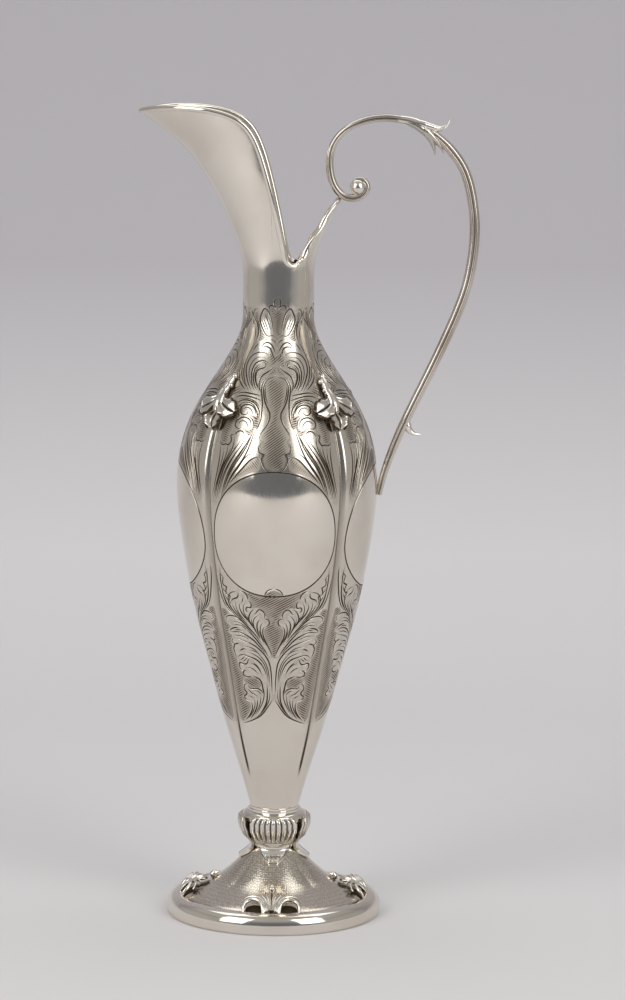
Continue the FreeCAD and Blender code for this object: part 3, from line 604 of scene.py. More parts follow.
        [(2.6, 112.0), (4.0, 114.6), (5.0, 117.2), (5.2, 119.6), (4.6, 121.2), (3.6, 121.8)],
        [(3.6, 113.0), (5.0, 116.0), (5.8, 118.8)],
        [(5.4, 115.0), (7.0, 118.0), (7.9, 120.6), (7.8, 122.6), (6.8, 124.0), (5.4, 124.6)],
        [(6.2, 116.6), (7.6, 119.6), (8.6, 121.8), (8.7, 123.4)],
        [(8.4, 119.8), (10.2, 122.6), (11.4, 124.8), (11.9, 126.8), (11.6, 128.6), (11.0, 129.6)],
        [(9.4, 122.0), (10.6, 124.2)],
        [(10.6, 121.6), (12.4, 123.4), (13.9, 125.4), (14.8, 127.6), (14.9, 129.6)],
        [(12.0, 122.6), (14.0, 124.6), (15.6, 126.8), (16.4, 128.6)],
        [(12.0, 131.8), (12.2, 130.2), (12.6, 129.0)],
        [(14.4, 123.3), (16.6, 125.6), (18.5, 128.6), (19.8, 132.0), (20.6, 136.4)],
        [
            (9.9, 194.0), (11.7, 190.4), (13.4, 187.6), (15.2, 184.8), (16.8, 182.0), (18.2, 178.9),
            (19.6, 174.6),
        ],
        [
            (11.8, 192.9), (13.6, 190.2), (15.4, 187.4), (17.2, 184.4), (18.6, 181.4), (20.0, 177.6),
            (21.2, 172.6),
        ],
        [(14.6, 191.2), (16.2, 188.7), (17.8, 186.0), (19.4, 182.7), (20.8, 179.0), (22.0, 174.4)],
        [(16.8, 190.4), (17.8, 187.9), (19.2, 185.0), (20.6, 181.7), (22.0, 177.2), (23.0, 172.0)],
        [(19.8, 189.0), (20.2, 186.2), (21.0, 183.0), (22.1, 179.0)],
        [
            (7.0, 200.2), (7.1, 202.8), (7.8, 205.0), (9.2, 206.5), (11.2, 206.9), (13.2, 206.3),
            (14.4, 204.9),
        ],
        [(8.6, 202.2), (9.2, 204.0), (10.2, 204.9), (11.6, 204.9), (12.4, 204.0)],
        [(8.4, 198.4), (8.8, 200.6), (10.2, 202.0)],
        [(10.4, 197.2), (10.9, 199.2), (12.2, 200.1), (13.8, 199.6), (14.4, 198.6)],
        [(4.0, 214.0), (4.2, 211.6), (3.8, 208.8), (2.8, 206.2)],
        [(6.2, 205.2), (7.4, 206.9), (9.2, 207.9), (11.4, 208.3), (13.6, 208.0)],
        [(6.9, 211.6), (7.8, 213.8), (8.3, 216.0), (8.1, 218.0), (7.2, 219.5), (5.9, 220.2)],
        [
            (9.0, 212.0), (10.2, 214.6), (10.7, 217.2), (10.4, 219.6), (9.5, 221.5), (8.2, 222.9),
            (6.4, 223.5), (4.8, 223.4),
        ],
        [(10.0, 212.0), (11.2, 214.8), (11.6, 217.6)],
        [(9.2, 225.6), (8.2, 227.4), (6.8, 228.6)],
        [(11.4, 212.2), (13.0, 214.6), (13.6, 217.4), (13.2, 220.2), (12.2, 223.0)],
        [(2.6, 233.2), (3.4, 236.0), (4.4, 238.6), (5.2, 240.2)],
        [(3.4, 233.0), (4.4, 235.6), (5.4, 238.2)],
        [(4.2, 233.2), (5.2, 235.4), (6.0, 237.6)],
        [(6.9, 229.8), (6.6, 232.2), (7.0, 234.8), (7.9, 237.2), (8.4, 239.4)],
        [(8.8, 230.0), (8.6, 232.6), (9.3, 235.2)],
        [(0.6, 222.6), (1.4, 224.0), (1.9, 226.0)],
        [(0.4, 228.4), (1.2, 229.6), (2.6, 230.2)],
    ],
    "hatched": [
        {
            "slope": 28,
            "edge": [
                (-0.6, 106.9), (0.8, 107.5), (1.5, 110.2), (2.7, 113.2), (3.6, 116.2), (3.9, 118.2),
                (3.4, 119.5), (2.2, 120.0), (1.4, 121.3), (1.5, 122.8), (2.6, 123.6), (3.1, 124.3),
                (3.2, 125.6), (4.3, 126.9), (5.6, 127.4), (7.4, 127.5), (8.6, 127.0), (8.4, 128.6),
                (8.7, 130.0), (9.9, 130.9), (10.2, 132.6), (10.4, 133.6), (8.5, 133.2), (6.0, 132.5),
                (4.0, 132.1), (3.0, 133.3), (1.6, 134.5), (-0.6, 134.9),
            ],
        },
        {
            "slope": 28,
            "edge": [
                (5.0, 97.0), (4.8, 95.6), (5.4, 94.5), (8.4, 94.5), (9.6, 95.4), (10.4, 96.2),
                (11.4, 96.0), (11.8, 98.6), (10.6, 98.4), (8.4, 99.0), (6.6, 98.4),
            ],
        },
        {
            "slope": -38,
            "edge": [
                (12.1, 79.8), (10.6, 82.0), (9.4, 84.0), (8.9, 86.4), (9.3, 88.2), (11.0, 89.0),
                (12.0, 90.5), (11.1, 91.6), (11.9, 93.4), (12.1, 95.0), (11.8, 98.8), (12.4, 100.6),
                (13.6, 101.8), (14.1, 103.6), (14.3, 105.6), (15.4, 107.2), (16.1, 109.0), (16.1, 111.2),
                (16.8, 112.6), (16.6, 114.2), (16.0, 115.2), (17.7, 116.4), (17.6, 117.8), (16.6, 119.0),
                (18.6, 120.4), (19.4, 121.8), (19.0, 123.4), (17.6, 124.2), (19.0, 126.0), (20.5, 126.0),
                (20.0, 121.0), (19.1, 114.0), (18.0, 108.0), (16.9, 101.0), (15.6, 94.0), (14.4, 88.0),
                (13.1, 81.0),
            ],
        },
        {
            "slope": 35,
            "edge": [
                (-0.6, 216.6), (1.1, 215.8), (2.5, 215.4), (3.4, 214.6), (4.1, 213.2), (4.3, 211.2),
                (3.8, 208.2), (2.7, 205.4), (1.8, 203.4), (1.8, 200.9), (2.8, 198.6), (4.2, 196.5),
                (5.3, 194.9), (5.3, 193.8), (4.3, 192.6), (5.2, 191.2), (5.6, 189.9), (5.2, 188.9),
                (3.4, 188.0), (4.4, 186.4), (4.1, 184.6), (3.2, 182.9), (1.7, 182.0), (-0.6, 181.8),
            ],
        },
        {
            "slope": 50,
            "edge": [
                (6.8, 187.4), (9.6, 186.2), (12.2, 183.4), (14.8, 180.4), (17.4, 177.2), (18.6, 175.2),
                (16.4, 176.4), (13.6, 178.6), (9.6, 180.6), (6.0, 181.6), (5.3, 183.4), (5.6, 186.2),
            ],
        },
        {
            "slope": 20,
            "edge": [
                (8.0, 197.2), (9.4, 194.6), (10.6, 195.0), (12.2, 196.6), (12.3, 197.6), (10.0, 196.8),
                (8.9, 197.6), (8.6, 201.6), (7.4, 201.4), (6.3, 200.8), (6.6, 199.4),
            ],
        },
        {
            "slope": 25,
            "edge": [
                (6.0, 198.2), (7.0, 197.2), (8.2, 198.2), (8.2, 200.8), (9.8, 202.4), (8.2, 202.2),
                (7.2, 202.0), (7.6, 204.6), (6.4, 203.2), (5.8, 201.0),
            ],
        },
        {
            "slope": -30,
            "edge": [
                (15.6, 205.4), (14.4, 207.2), (16.2, 207.4), (15.6, 209.6), (14.0, 210.7), (12.0, 211.0),
                (13.6, 212.6), (14.8, 215.0), (14.8, 218.0), (13.4, 221.6), (12.6, 223.6), (14.2, 222.4),
                (15.6, 219.4), (17.2, 215.6), (19.0, 210.6), (20.4, 205.4), (18.4, 203.4), (16.6, 203.4),
            ],
        },
        {
            "slope": 40,
            "edge": [
                (0.2, 218.0), (1.6, 217.0), (3.0, 217.0), (4.6, 216.2), (3.0, 217.6), (1.4, 219.2),
                (0.2, 220.4),
            ],
        },
        {
            "slope": 40,
            "edge": [
                (-0.2, 221.6), (0.8, 221.4), (2.0, 220.2), (3.0, 219.4), (3.0, 221.4), (3.4, 222.6),
                (2.4, 224.0), (1.7, 225.4), (1.8, 226.4), (1.0, 225.2), (0.4, 224.2), (-0.2, 224.0),
            ],
        },
        {
            "slope": 30,
            "edge": [
                (7.2, 229.4), (8.2, 229.4), (7.2, 231.2), (7.0, 233.8), (7.6, 236.4), (8.8, 238.4),
                (8.8, 240.4), (7.8, 240.8), (7.2, 239.4), (7.2, 237.4), (6.4, 234.6), (5.2, 232.2),
                (4.2, 231.0), (5.8, 229.4),
            ],
        },
        {
            "slope": 30,
            "edge": [
                (-0.2, 231.4), (1.4, 232.2), (1.5, 234.8), (2.0, 237.8), (3.0, 240.6), (2.4, 241.0),
                (1.2, 241.6), (0.4, 240.6), (-0.2, 240.4),
            ],
        },
        {
            "slope": 20,
            "edge": [
                (16.2, 196.4), (17.6, 194.8), (17.4, 192.9), (18.4, 191.5), (20.6, 191.3), (21.2, 193.0),
                (20.4, 196.4), (18.6, 200.0), (16.0, 203.0), (14.2, 202.4), (15.8, 199.6),
            ],
        },
    ],
    "field": [
        (-0.5, 90.0), (1.2, 88.4), (2.6, 86.2), (4.2, 83.9), (6.0, 82.2), (9.4, 80.2), (12.0, 79.0),
        (40.0, 79.0), (40.0, 243.0), (-0.5, 243.0),
    ],
    "fieldShare": 0.32,
    "boldWidth": 0.34, "fineWidth": 0.24, "hatchWidth": 0.24, "boldDepth": 0.24, "fineDepth": 0.16,
    "hatchDepth": 0.1,
    "hatchPitch": 0.8, "hatchStart": 0.3, "hatchInset": 0.15, "hatchShortest": 0.7, "hatchStep": 2.6,
    "step": 0.7, "edgeAngle": 44.0, "plainAngle": 44.6, "chart": 39.0, "clearance": 0.75,
    "leastHalf": 0.02, "leastDepth": 0.012, "flatDepth": 0.05, "flatReach": 1.3, "groundStep": 1.1,
    "swell": 0.45, "denser": 12,
}


def panelAngle(x, z):  # the angle at which the panel lies x beside its middle
    low = np.zeros_like(x)
    high = np.full_like(x, math.pi / 4)
    for _ in range(30):
        middle = (low + high) / 2
        less = bodyRadius(middle, z) * np.sin(middle) < np.abs(x)
        low = np.where(less, middle, low)
        high = np.where(less, high, middle)
    return (low + high) / 2 * np.sign(x)


def bodyNormal(phi, z, wall=0.0):
    turn, rise = 0.0005, 0.05
    around = bodyPoint(phi + turn, z, wall) - bodyPoint(phi - turn, z, wall)
    above = bodyPoint(phi, np.minimum(z + rise, bodyHigh), wall)
    up = above - bodyPoint(phi, np.maximum(z - rise, bodyLow), wall)
    normal = np.cross(around, up)
    return normal / np.linalg.norm(normal, axis=-1)[..., None]


def hatchLines(edge, slope):  # parallel strokes kept inside an outline
    outline = np.array(edge)
    a = math.radians(slope)
    along = np.array([math.cos(a), math.sin(a)])
    across = np.array([-math.sin(a), math.cos(a)])
    reach = outline @ across
    lines = []
    for level in np.arange(reach.min() + ornament["hatchStart"], reach.max(), ornament["hatchPitch"]):
        cuts = []
        for p, q in zip(outline, np.roll(outline, -1, 0)):
            u, v = p @ across - level, q @ across - level
            if u * v < 0:
                cuts.append((p + (q - p) * u / (u - v)) @ along)
        cuts.sort()
        for start, end in zip(cuts[::2], cuts[1::2]):
            if end - start > ornament["hatchShortest"]:
                ends = (start + ornament["hatchInset"], end - ornament["hatchInset"])
                lines.append([along * spot + across * level for spot in ends])
    return lines


def strokeSet():  # every stroke of the panel as points on it, with half width and depth
    strokes = []
    oval = ornament["oval"]
    turn = np.linspace(0, 2 * math.pi, 200, endpoint=False)
    power = 2 / oval["power"]
    ring = np.stack([
        oval["wide"] * np.sign(np.cos(turn)) * np.abs(np.cos(turn)) ** power,
        oval["middle"] + oval["tall"] * np.sign(np.sin(turn)) * np.abs(np.sin(turn)) ** power,
    ], 1)
    strokes.append((ring, ornament["boldWidth"], ornament["boldDepth"], False))
    halves = []
    for key in ("bold", "fine"):
        for points in ornament[key]:
            rough = np.array(points)
            length = np.linalg.norm(np.diff(rough, axis=0), axis=1).sum()
            line = smoothLine(points, max(4, int(length / ornament["step"]) + 1))
            halves.append((line, ornament[key + "Width"], ornament[key + "Depth"]))
    for patch in ornament["hatched"]:
        edge = patch["edge"]
        central = edge[0][0] < 0  # a patch across the middle is hatched one way
        if central:
            right = [(max(x, 0.0), z) for x, z in edge]
            edge = right + [(-x, z) for x, z in right[::-1]]
        for start, end in hatchLines(edge, patch["slope"]):
            count = max(3, int(np.linalg.norm(end - start) / ornament["hatchStep"]) + 2)
            line = start + (end - start) * np.linspace(0, 1, count)[:, None]
            if central:
                strokes.append((line, ornament["hatchWidth"], ornament["hatchDepth"], True))
            else:
                halves.append((line, ornament["hatchWidth"], ornament["hatchDepth"]))
    for line, width, depth in halves:
        strokes.append((line, width, depth, True))
        strokes.append((line * np.array([-1, 1]), width, depth, True))
    return strokes


def layStrokes(limit):  # every stroke as three chains on the flat chart, and dense points of its middle
    flat, edges, centres = [], [], []
    for line, width, depth, pointed in strokeSet():
        phi = panelAngle(line[:, 0], line[:, 1])
        inside = np.abs(phi) < limit
        runs = np.split(np.arange(len(line)), np.where(np.diff(inside.astype(int)) != 0)[0] + 1)
        for run in runs:
            count = len(run)
            if not inside[run[0]] or count < 3:
                continue
            closed = not pointed and count == len(line)
            z = line[run, 1]
            place = bodyPoint(phi[run], z)
            tangent = np.roll(place, -1, 0) - np.roll(place, 1, 0) if closed else np.gradient(place, axis=0)
            tangent /= np.maximum(np.linalg.norm(tangent, axis=1), 1e-9)[:, None]
            side = np.cross(bodyNormal(phi[run], z), tangent)
            half = np.full(count, width)
            if not closed:
                half *= np.sin(math.pi * np.linspace(0, 1, count)).clip(0, 1) ** ornament["swell"]
            half = np.maximum(half, ornament["leastHalf"])
            base = len(flat)
            for offset in (0, 1, -1):
                spot = place + side * (half * offset)[:, None]
                rows = slice(0, count) if offset == 0 or closed else slice(1, count - 1)
                angle = np.arctan2(spot[rows, 0], -spot[rows, 1])
                flat += [(a * ornament["chart"], h) for a, h in zip(angle, spot[rows, 2])]
            if closed:
                for start in (base, base + count, base + 2 * count):
                    edges += [(start + k, start + (k + 1) % count) for k in range(count)]
            else:
                edges += [(base + k, base + k + 1) for k in range(count - 1)]
                for start in (base + count, base + 2 * count - 2):
                    chain = [base] + [start + k for k in range(count - 2)] + [base + count - 1]
                    edges += list(zip(chain[:-1], chain[1:]))
            fine = np.linspace(0, count - 1, (count - 1) * ornament["denser"] + 1)
            dense = np.stack([np.interp(fine, np.arange(count), place[:, k]) for k in range(3)], 1)
            denseHalf = np.interp(fine, np.arange(count), half)
            centres += list(zip(dense, denseHalf, denseHalf / width * depth, denseHalf / width))
    return flat, edges, centres


def layGroundEdges(flat, edges, limit):  # the hatched grounds get clean edges
    for patch in ornament["hatched"]:
        ring = np.array(patch["edge"] + patch["edge"][:1])
        reach = walked(ring)
        spots = np.linspace(0, reach[-1], int(reach[-1] / ornament["groundStep"]), endpoint=False)
        z = np.interp(spots, reach, ring[:, 1])
        for way in (1, -1):
            x = np.interp(spots, reach, ring[:, 0]) * way
            angle = np.clip(panelAngle(x, z), -limit, limit)
            base = len(flat)
            flat.extend(zip(angle * ornament["chart"], z))
            edges.extend((base + k, base + (k + 1) % len(spots)) for k in range(len(spots)))


def grooveShade(phi, z):  # painted shade: a dark line in the groove with a soft brown band beside it
    gap = (math.pi / 4 - np.abs(phi)) * lobeRadius(z)
    fade = np.clip((z - body["toneFoot"]) / body["toneFootRun"], 0, 1)
    fade = fade * np.clip((body["toneHead"] - z) / body["toneHeadRun"], 0, 1)
    dark = body["dark"] + body["wedge"] * np.clip((body["wedgeTop"] - z) / body["toneRun"], 0, 1)
    brown = body["brown"] * np.clip((z - body["brownFoot"]) / body["toneRun"], 0, 1)
    dark = dark * fade * np.clip(1 - gap / body["darkWidth"], 0, 1)
    return np.maximum(dark, brown * fade * np.clip(1 - gap / body["brownWidth"], 0, 1))


def engravedPanel():  # points, triangles, cut depth, darkness (oxide in the cuts and painted shade in the grooves) and smooth normals of the front panel
    limit = math.radians(ornament["edgeAngle"])
    flat, edges, centres = layStrokes(limit)
    layGroundEdges(flat, edges, limit)
    tree = kdtree.KDTree(len(centres))
    for i, centre in enumerate(centres):
        tree.insert(centre[0], i)
    tree.balance()
    columns = np.radians(panelSpread())
    columns = np.concatenate([-columns[:0:-1], columns])
    heights = panelHeights()
    for z in heights:
        border = z in (heights[0], heights[-1])
        row = bodyPoint(columns, np.full_like(columns, z))
        for j, a in enumerate(columns):
            if border or j in (0, len(columns) - 1) or tree.find(row[j])[2] > ornament["clearance"]:
                flat.append((a * ornament["chart"], z))
    laid = delaunay_2d_cdt([Vector(p) for p in flat], edges, [], 0, 1e-5)
    chartPoints = np.array([tuple(p) for p in laid[0]])
    triangles = np.array([tuple(t) for t in laid[2]])
    phi = chartPoints[:, 0] / ornament["chart"]
    z = chartPoints[:, 1]
    place = bodyPoint(phi, z)
    normal = bodyNormal(phi, z)
    depth = np.zeros(len(place))
    oxideAndShade = np.zeros(len(place))
    for i, p in enumerate(place):
        for _, k, away in tree.find_range(p, ornament["boldWidth"]):
            near = 1 - away / centres[k][1]
            depth[i] = max(depth[i], centres[k][2] * near)
            oxideAndShade[i] = max(oxideAndShade[i], centres[k][3] * near)
    depth[depth < ornament["leastDepth"]] = 0
    depth[np.abs(phi) > math.radians(ornament["plainAngle"])] = 0
    return place - normal * depth[:, None], triangles, depth, np.maximum(oxideAndShade, grooveShade(phi, z)), normal


def panelSpread():  # degrees from the panel's middle, closer together beside the groove
    beside = np.array([6, 5, 4, 3.2, 2.5, 1.9, 1.4, 0.9, 0.45, 0])
    return np.concatenate([np.linspace(0, 38, 14), 45 - beside])


def panelHeights():
    return np.linspace(bodyLow, bodyHigh, body["outerRows"])


def insideOutline(x, z, edge):  # even-odd test against an outline
    outline = np.array(edge)
    hits = np.zeros(len(x), bool)
    for (ax, az), (bx, bz) in zip(outline, np.roll(outline, -1, 0)):
        if az != bz:
            hits ^= ((az > z) != (bz > z)) & (x < (bx - ax) * (z - az) / (bz - az) + ax)
    return hits


def panelGround(middle):  # 1 on the hatched grounds, less on the rest of the ornament, 0 where it is plain
    aside, z = np.abs(middle[:, 0]), middle[:, 2]
    oval = ornament["oval"]
    across = (aside / oval["wide"]) ** oval["power"]
    plain = across + (np.abs(z - oval["middle"]) / oval["tall"]) ** oval["power"] < 1
    ground = ornament["fieldShare"] * (insideOutline(aside, z, ornament["field"]) & ~plain)
    for patch in ornament["hatched"]:
        ground = np.where(insideOutline(aside, z, patch["edge"]), 1.0, ground)
    return ground


def quarterPanels(place, triangles, depth, normal):  # the panel four times, flat shaded in its cuts
    points, faces, shading = [], [], []
    for k in range(lobeCount):
        c, s = math.cos(quarter * k), math.sin(quarter * k)
        spin = np.array([[c, -s, 0], [s, c, 0], [0, 0, 1]])
        turnedPlace = place @ spin.T
        turnedNormal = normal @ spin.T
        corners = turnedPlace[triangles]
        flat = np.cross(corners[:, 1] - corners[:, 0], corners[:, 2] - corners[:, 0])
        flat /= np.maximum(np.linalg.norm(flat, axis=1), 1e-12)[:, None]
        longest = np.linalg.norm(corners - np.roll(corners, 1, 1), axis=2).max(1)
        engraved = (depth[triangles] > ornament["flatDepth"]).any(1) & (longest < ornament["flatReach"])
        loops = np.where(engraved[:, None, None], flat[:, None, :], turnedNormal[triangles])
        faces += (triangles + k * len(place)).tolist()
        shading += loops.reshape(-1, 3).tolist()
        points.append(turnedPlace)
    return points, faces, shading


def ringAt(local, around, level, z, wall):
    r = bodyRadius(local, np.full_like(local, level), wall)
    return np.stack([r * np.sin(around), -r * np.cos(around), np.full_like(r, z)], 1)


def wallRings(local, around):  # the top edge, then the inside from the top down, with normals
    turn = np.repeat(np.arange(lobeCount) * quarter, len(local) // lobeCount)
    inside = np.linspace(bodyHigh, body["floor"], body["wallRows"])
    rings, normals = [], []
    for z, wall in [(bodyHigh, 0.0)] + [(z, body["wall"]) for z in inside]:
        level = max(z, body["lowestInside"])
        rings.append(ringAt(local, around, level, z, wall))
        n = bodyNormal(local, np.full_like(local, level), wall)
        x = n[:, 0] * np.cos(turn) - n[:, 1] * np.sin(turn)
        y = n[:, 0] * np.sin(turn) + n[:, 1] * np.cos(turn)
        normals.append(-np.stack([x, y, n[:, 2]], 1))
    return rings, normals


def bodyShell():
    place, triangles, depth, oxideAndShade, normal = engravedPanel()
    grounds = np.tile(panelGround(place[triangles].mean(1)), lobeCount).tolist()
    points, faces, shading = quarterPanels(place, triangles, depth, normal)
    half = np.radians(panelSpread())
    angles = np.concatenate([-half[:0:-1], half[:-1]])
    columns = len(angles) * lobeCount
    around = np.concatenate([angles + quarter * k for k in range(lobeCount)])
    local = np.tile(angles, lobeCount)
    rings, ringNormals = wallRings(local, around)
    outer = lobeCount * len(place)
    last = outer + (len(rings) - 1) * columns
    floorMiddle = last + columns
    bottom = floorMiddle + 2
    points += rings
    points.append(np.array([(0, 0, body["floor"]), (0, 0, bodyLow)]))
    points.append(ringAt(local, around, bodyLow, bodyLow, 0.0))
    for i in range(len(rings) - 1):
        for j in range(columns):
            corners = [(i, j), (i, (j + 1) % columns), (i + 1, (j + 1) % columns), (i + 1, j)]
            faces.append([outer + row * columns + column for row, column in corners])
            shading += [ringNormals[row][column].tolist() if i else [0, 0, 1] for row, column in corners]
    for j in range(columns):
        k = (j + 1) % columns
        faces.append([floorMiddle, last + j, last + k])
        shading += [[0, 0, 1]] * 3
        faces.append([floorMiddle + 1, bottom + k, bottom + j])
        shading += [[0, 0, -1]] * 3
    allPoints = np.vstack(points)
    cuts = np.concatenate([np.tile(oxideAndShade, lobeCount), np.zeros(len(allPoints) - outer)])
    grounds += [0.0] * (len(faces) - len(grounds))
    _, first, same = np.unique(np.round(allPoints, 4), axis=0, return_index=True, return_inverse=True)
    same = same.reshape(-1)
    kept, keptShading, keptGround, at = [], [], [], 0
    for face, dull in zip(faces, grounds):  # doubled points are welded and collapsed faces dropped
        welded = [int(same[v]) for v in face]
        if len(set(welded)) == len(face):
            kept.append(welded)
            keptShading += shading[at:at + len(face)]
            keptGround.append(dull)
        at += len(face)
    piece = meshPiece("body", allPoints[first], kept)
    markOxideAndShade(piece, cuts[first])
    field = piece.data.attributes.new("ground", "FLOAT", "FACE")
    field.data.foreach_set("value", keptGround)
    piece.data.shade_smooth()
    piece.data.normals_split_custom_set(keptShading)
    print("body triangles", sum(len(f) - 2 for f in kept))
    return seat(piece, "engraved_silver", engravedSilver, "body_shell")


bodyShell()
print("body made")

# neck: height, reach to the lip, reach to the tongue and half width, and the cut edge seen from the side
neck = {
    "bottom": 250.0, "height": 70.0, "radius": 13.9, "lip": 58.5, "tongue": 36.0, "side": 18.5, "wall": 1.2,
    "shares": [
        (0.0, 0.0, 0.0, 0.0), (0.14, 0.014, 0.024, 0.03), (0.37, 0.137, 0.276, 0.52),
        (0.48, 0.217, 0.434, 0.79),
        (0.625, 0.35, 0.593, 1.0), (0.77, 0.529, 0.729, 1.13), (0.91, 0.798, 0.864, 1.24),
        (1.0, 1.0, 1.0, 1.3),
    ],
    "edge": [
        (-1.05, 0.925), (-0.949, 0.954), (-0.69, 0.984), (-0.375, 0.955), (-0.22, 0.885), (-0.128, 0.75),
        (-0.034, 0.467), (0.034, 0.205), (0.06, 0.14), (0.1, 0.117), (0.142, 0.138), (0.19, 0.205),
        (0.25, 0.295), (0.392, 0.48), (0.48, 0.6),
    ],
    "wire": 1.2, "wireMiddle": (-4.0, 0, 285.0), "edgeDrop": 0.5,
    "pinch": 0.7, "pinchFoot": 285, "pinchRun": 32,
    "twistStart": 6.5, "twistRun": 3, "twistLength": 4.4, "twistWide": 0.1, "twistThin": 0.24,
}
neckKnots = [neck["bottom"] + neck["height"] * row[0] for row in neck["shares"]]


def neckSpline(reach, column):
    return spline(
        neckKnots, [neck["radius"] + (reach - neck["radius"]) * row[column] for row in neck["shares"]],
    )


lipReach = neckSpline(neck["lip"], 1)
tongueReach = neckSpline(neck["tongue"], 2)
neckSide = neckSpline(neck["side"], 3)


def neckPoint(turn, z, inset):  # turn 0 at the tongue, pi at the lip
    left = lipReach(z) - inset
    right = tongueReach(z) - inset
    middle = (right - left) / 2
    rise = np.clip((z - neck["pinchFoot"]) / neck["pinchRun"], 0, 1)
    pinch = 1 + neck["pinch"] * rise * np.clip(-np.cos(turn), 0, 1)
    across = np.sign(np.sin(turn)) * np.abs(np.sin(turn)) ** pinch
    x = middle + (left + right) / 2 * np.cos(turn)
    return np.stack([x, -(neckSide(z) - inset) * across, z + 0 * turn], -1)


def rimLine(inset):  # the cut edge along the front half, from the tongue to the lip
    drawn = [(neck["lip"] * x, neck["bottom"] + neck["height"] * z) for x, z in neck["edge"]]
    edge = smoothLine(drawn, 900)[::-1]
    left = lipReach(edge[:, 1]) - inset
    right = tongueReach(edge[:, 1]) - inset
    share = (edge[:, 0] - (right - left) / 2) / ((left + right) / 2)
    keep = np.abs(share) <= 1
    turn = np.arccos(share[keep])
    height = edge[keep, 1]
    turn = np.concatenate([[0], turn, [math.pi]])
    height = np.concatenate([height[:1], height, height[-1:]])
    return turn, height


def neckSpout():
    turn, height = rimLine(neck["wall"] / 2)
    line = neckPoint(turn, height, 0)
    length = walked(line)
    spots = np.linspace(0, length[-1], 121)
    turn = np.interp(spots, length, turn)
    height = np.interp(spots, length, height) - neck["edgeDrop"]
    turn = np.concatenate([turn, 2 * math.pi - turn[-2:0:-1]])
    height = np.concatenate([height, height[-2:0:-1]])
    climb = np.linspace(0, 1, 50)
    rings = []
    for inset, order in ((0, climb), (neck["wall"], climb[::-1])):
        rings += [neckPoint(turn, neck["bottom"] + (height - neck["bottom"]) * s, inset) for s in order]
    rings = np.array(rings)
    piece = meshPiece("neck", rings.reshape(-1, 3), gridFaces(len(rings), rings.shape[1], True, True))
    cleanMesh(piece, 50)
    return seat(piece, "polished_silver", polishedSilver, "neck_spout")


def rimWire():
    turn, height = rimLine(neck["wall"] / 2)
    front = smoothLine(neckPoint(turn, height, neck["wall"] / 2)[::6], 240)
    back = front[-2:0:-1] * np.array([1, -1, 1])
    path = np.vstack([front, back])
    tangent = np.roll(path, -1, 0) - np.roll(path, 1, 0)
    tangent /= np.linalg.norm(tangent, axis=1)[:, None]
    out = path - np.array(neck["wireMiddle"])
    out -= tangent * np.sum(out * tangent, 1)[:, None]
    out /= np.linalg.norm(out, axis=1)[:, None]
    side = np.cross(tangent, out)
    walk = walked(path)
    onTongue = np.clip((path[:, 0] - neck["twistStart"]) / neck["twistRun"], 0, 1)
    around = np.linspace(0, 2 * math.pi, 16, endpoint=False)
    rings = []
    for i, p in enumerate(path):
        twist = walk[i] / neck["twistLength"] * onTongue[i]
        wide = neck["wire"] * (1 + neck["twistWide"] * onTongue[i])
        thin = neck["wire"] * (1 - neck["twistThin"] * onTongue[i])
        u = np.cos(twist) * out[i] + np.sin(twist) * side[i]
        v = np.cos(twist) * side[i] - np.sin(twist) * out[i]
        rings.append(p + wide * np.cos(around)[:, None] * u + thin * np.sin(around)[:, None] * v)
    rings = np.array(rings)
    piece = meshPiece("rimWire", rings.reshape(-1, 3), gridFaces(len(rings), len(around), True, True))
    cleanMesh(piece, 60)
    return seat(piece, "polished_silver", polishedSilver, "rim_wire")


neckSpout()
rimWire()
print("neck and rim made")

# handle: points of its middle line as (x, z), with the bar's thickness there
handle = {
    "scroll": [
        (29.8, 291.3), (33.1, 290.7), (33.7, 286.8), (28.5, 284.2), (23.8, 285.8), (20.6, 290.6),
        (19.4, 297.6),
        (20.6, 304.4), (24.6, 309.8), (30.4, 313.3), (37.0, 315.1), (43.8, 315.3), (50.6, 313.9),
        (56.6, 311.2),
    ],
    "stem": [
        (56.6, 311.2), (61.3, 308.2), (69.4, 299.4), (73.4, 291.0), (75.4, 281.8), (76.2, 271.1),
        (74.8, 257.0),
        (71.4, 244.2), (60.2, 218.3), (48.1, 192.8), (42.2, 177.1), (39.9, 168.0),
    ],
    "scrollThickness": [(0.0, 2.5), (0.15, 3.1), (0.4, 3.0), (0.7, 3.1), (1.0, 3.3)],
    "stemThickness": [(0.0, 2.6), (0.08, 4.0), (0.5, 4.1), (0.8, 3.8), (1.0, 2.6)],
    "width": 4.0, "overWide": 1.05, "grooveDepth": 0.28, "grooveWidth": 0.2, "grooveDark": 0.34,
}


def ridgedBar(name, route, thickness, count):
    flat = smoothLine(route, count)
    path = np.stack([flat[:, 0], np.zeros(count), flat[:, 1]], 1)
    along = np.linspace(0, 1, count)
    thick = np.interp(along, [t for t, _ in thickness], [v for _, v in thickness])
    tangent = np.gradient(path, axis=0)
    tangent /= np.linalg.norm(tangent, axis=1)[:, None]
    across = np.cross(tangent, np.array([0, 1.0, 0]))
    around = np.linspace(0, 2 * math.pi, 40, endpoint=False)
    incised = np.exp(-(np.cos(around) / handle["grooveWidth"]) ** 2)  # one line along each side
    rings = []
    for i, p in enumerate(path):
        half = thick[i] / 2
        wide = min(handle["width"], thick[i] * handle["overWide"]) / 2
        ridge = 1 - handle["grooveDepth"] * incised
        rings.append(
            p
            + (half * np.cos(around))[:, None] * across[i]
            + (wide * np.sin(around) * ridge)[:, None] * np.array([0, 1.0, 0])
        )
    piece = sweep(name, path, np.array(rings))
    markOxideAndShade(piece, np.concatenate([np.tile(handle["grooveDark"] * incised, count), [0, 0]]))
    cleanMesh(piece, 50)
    return piece


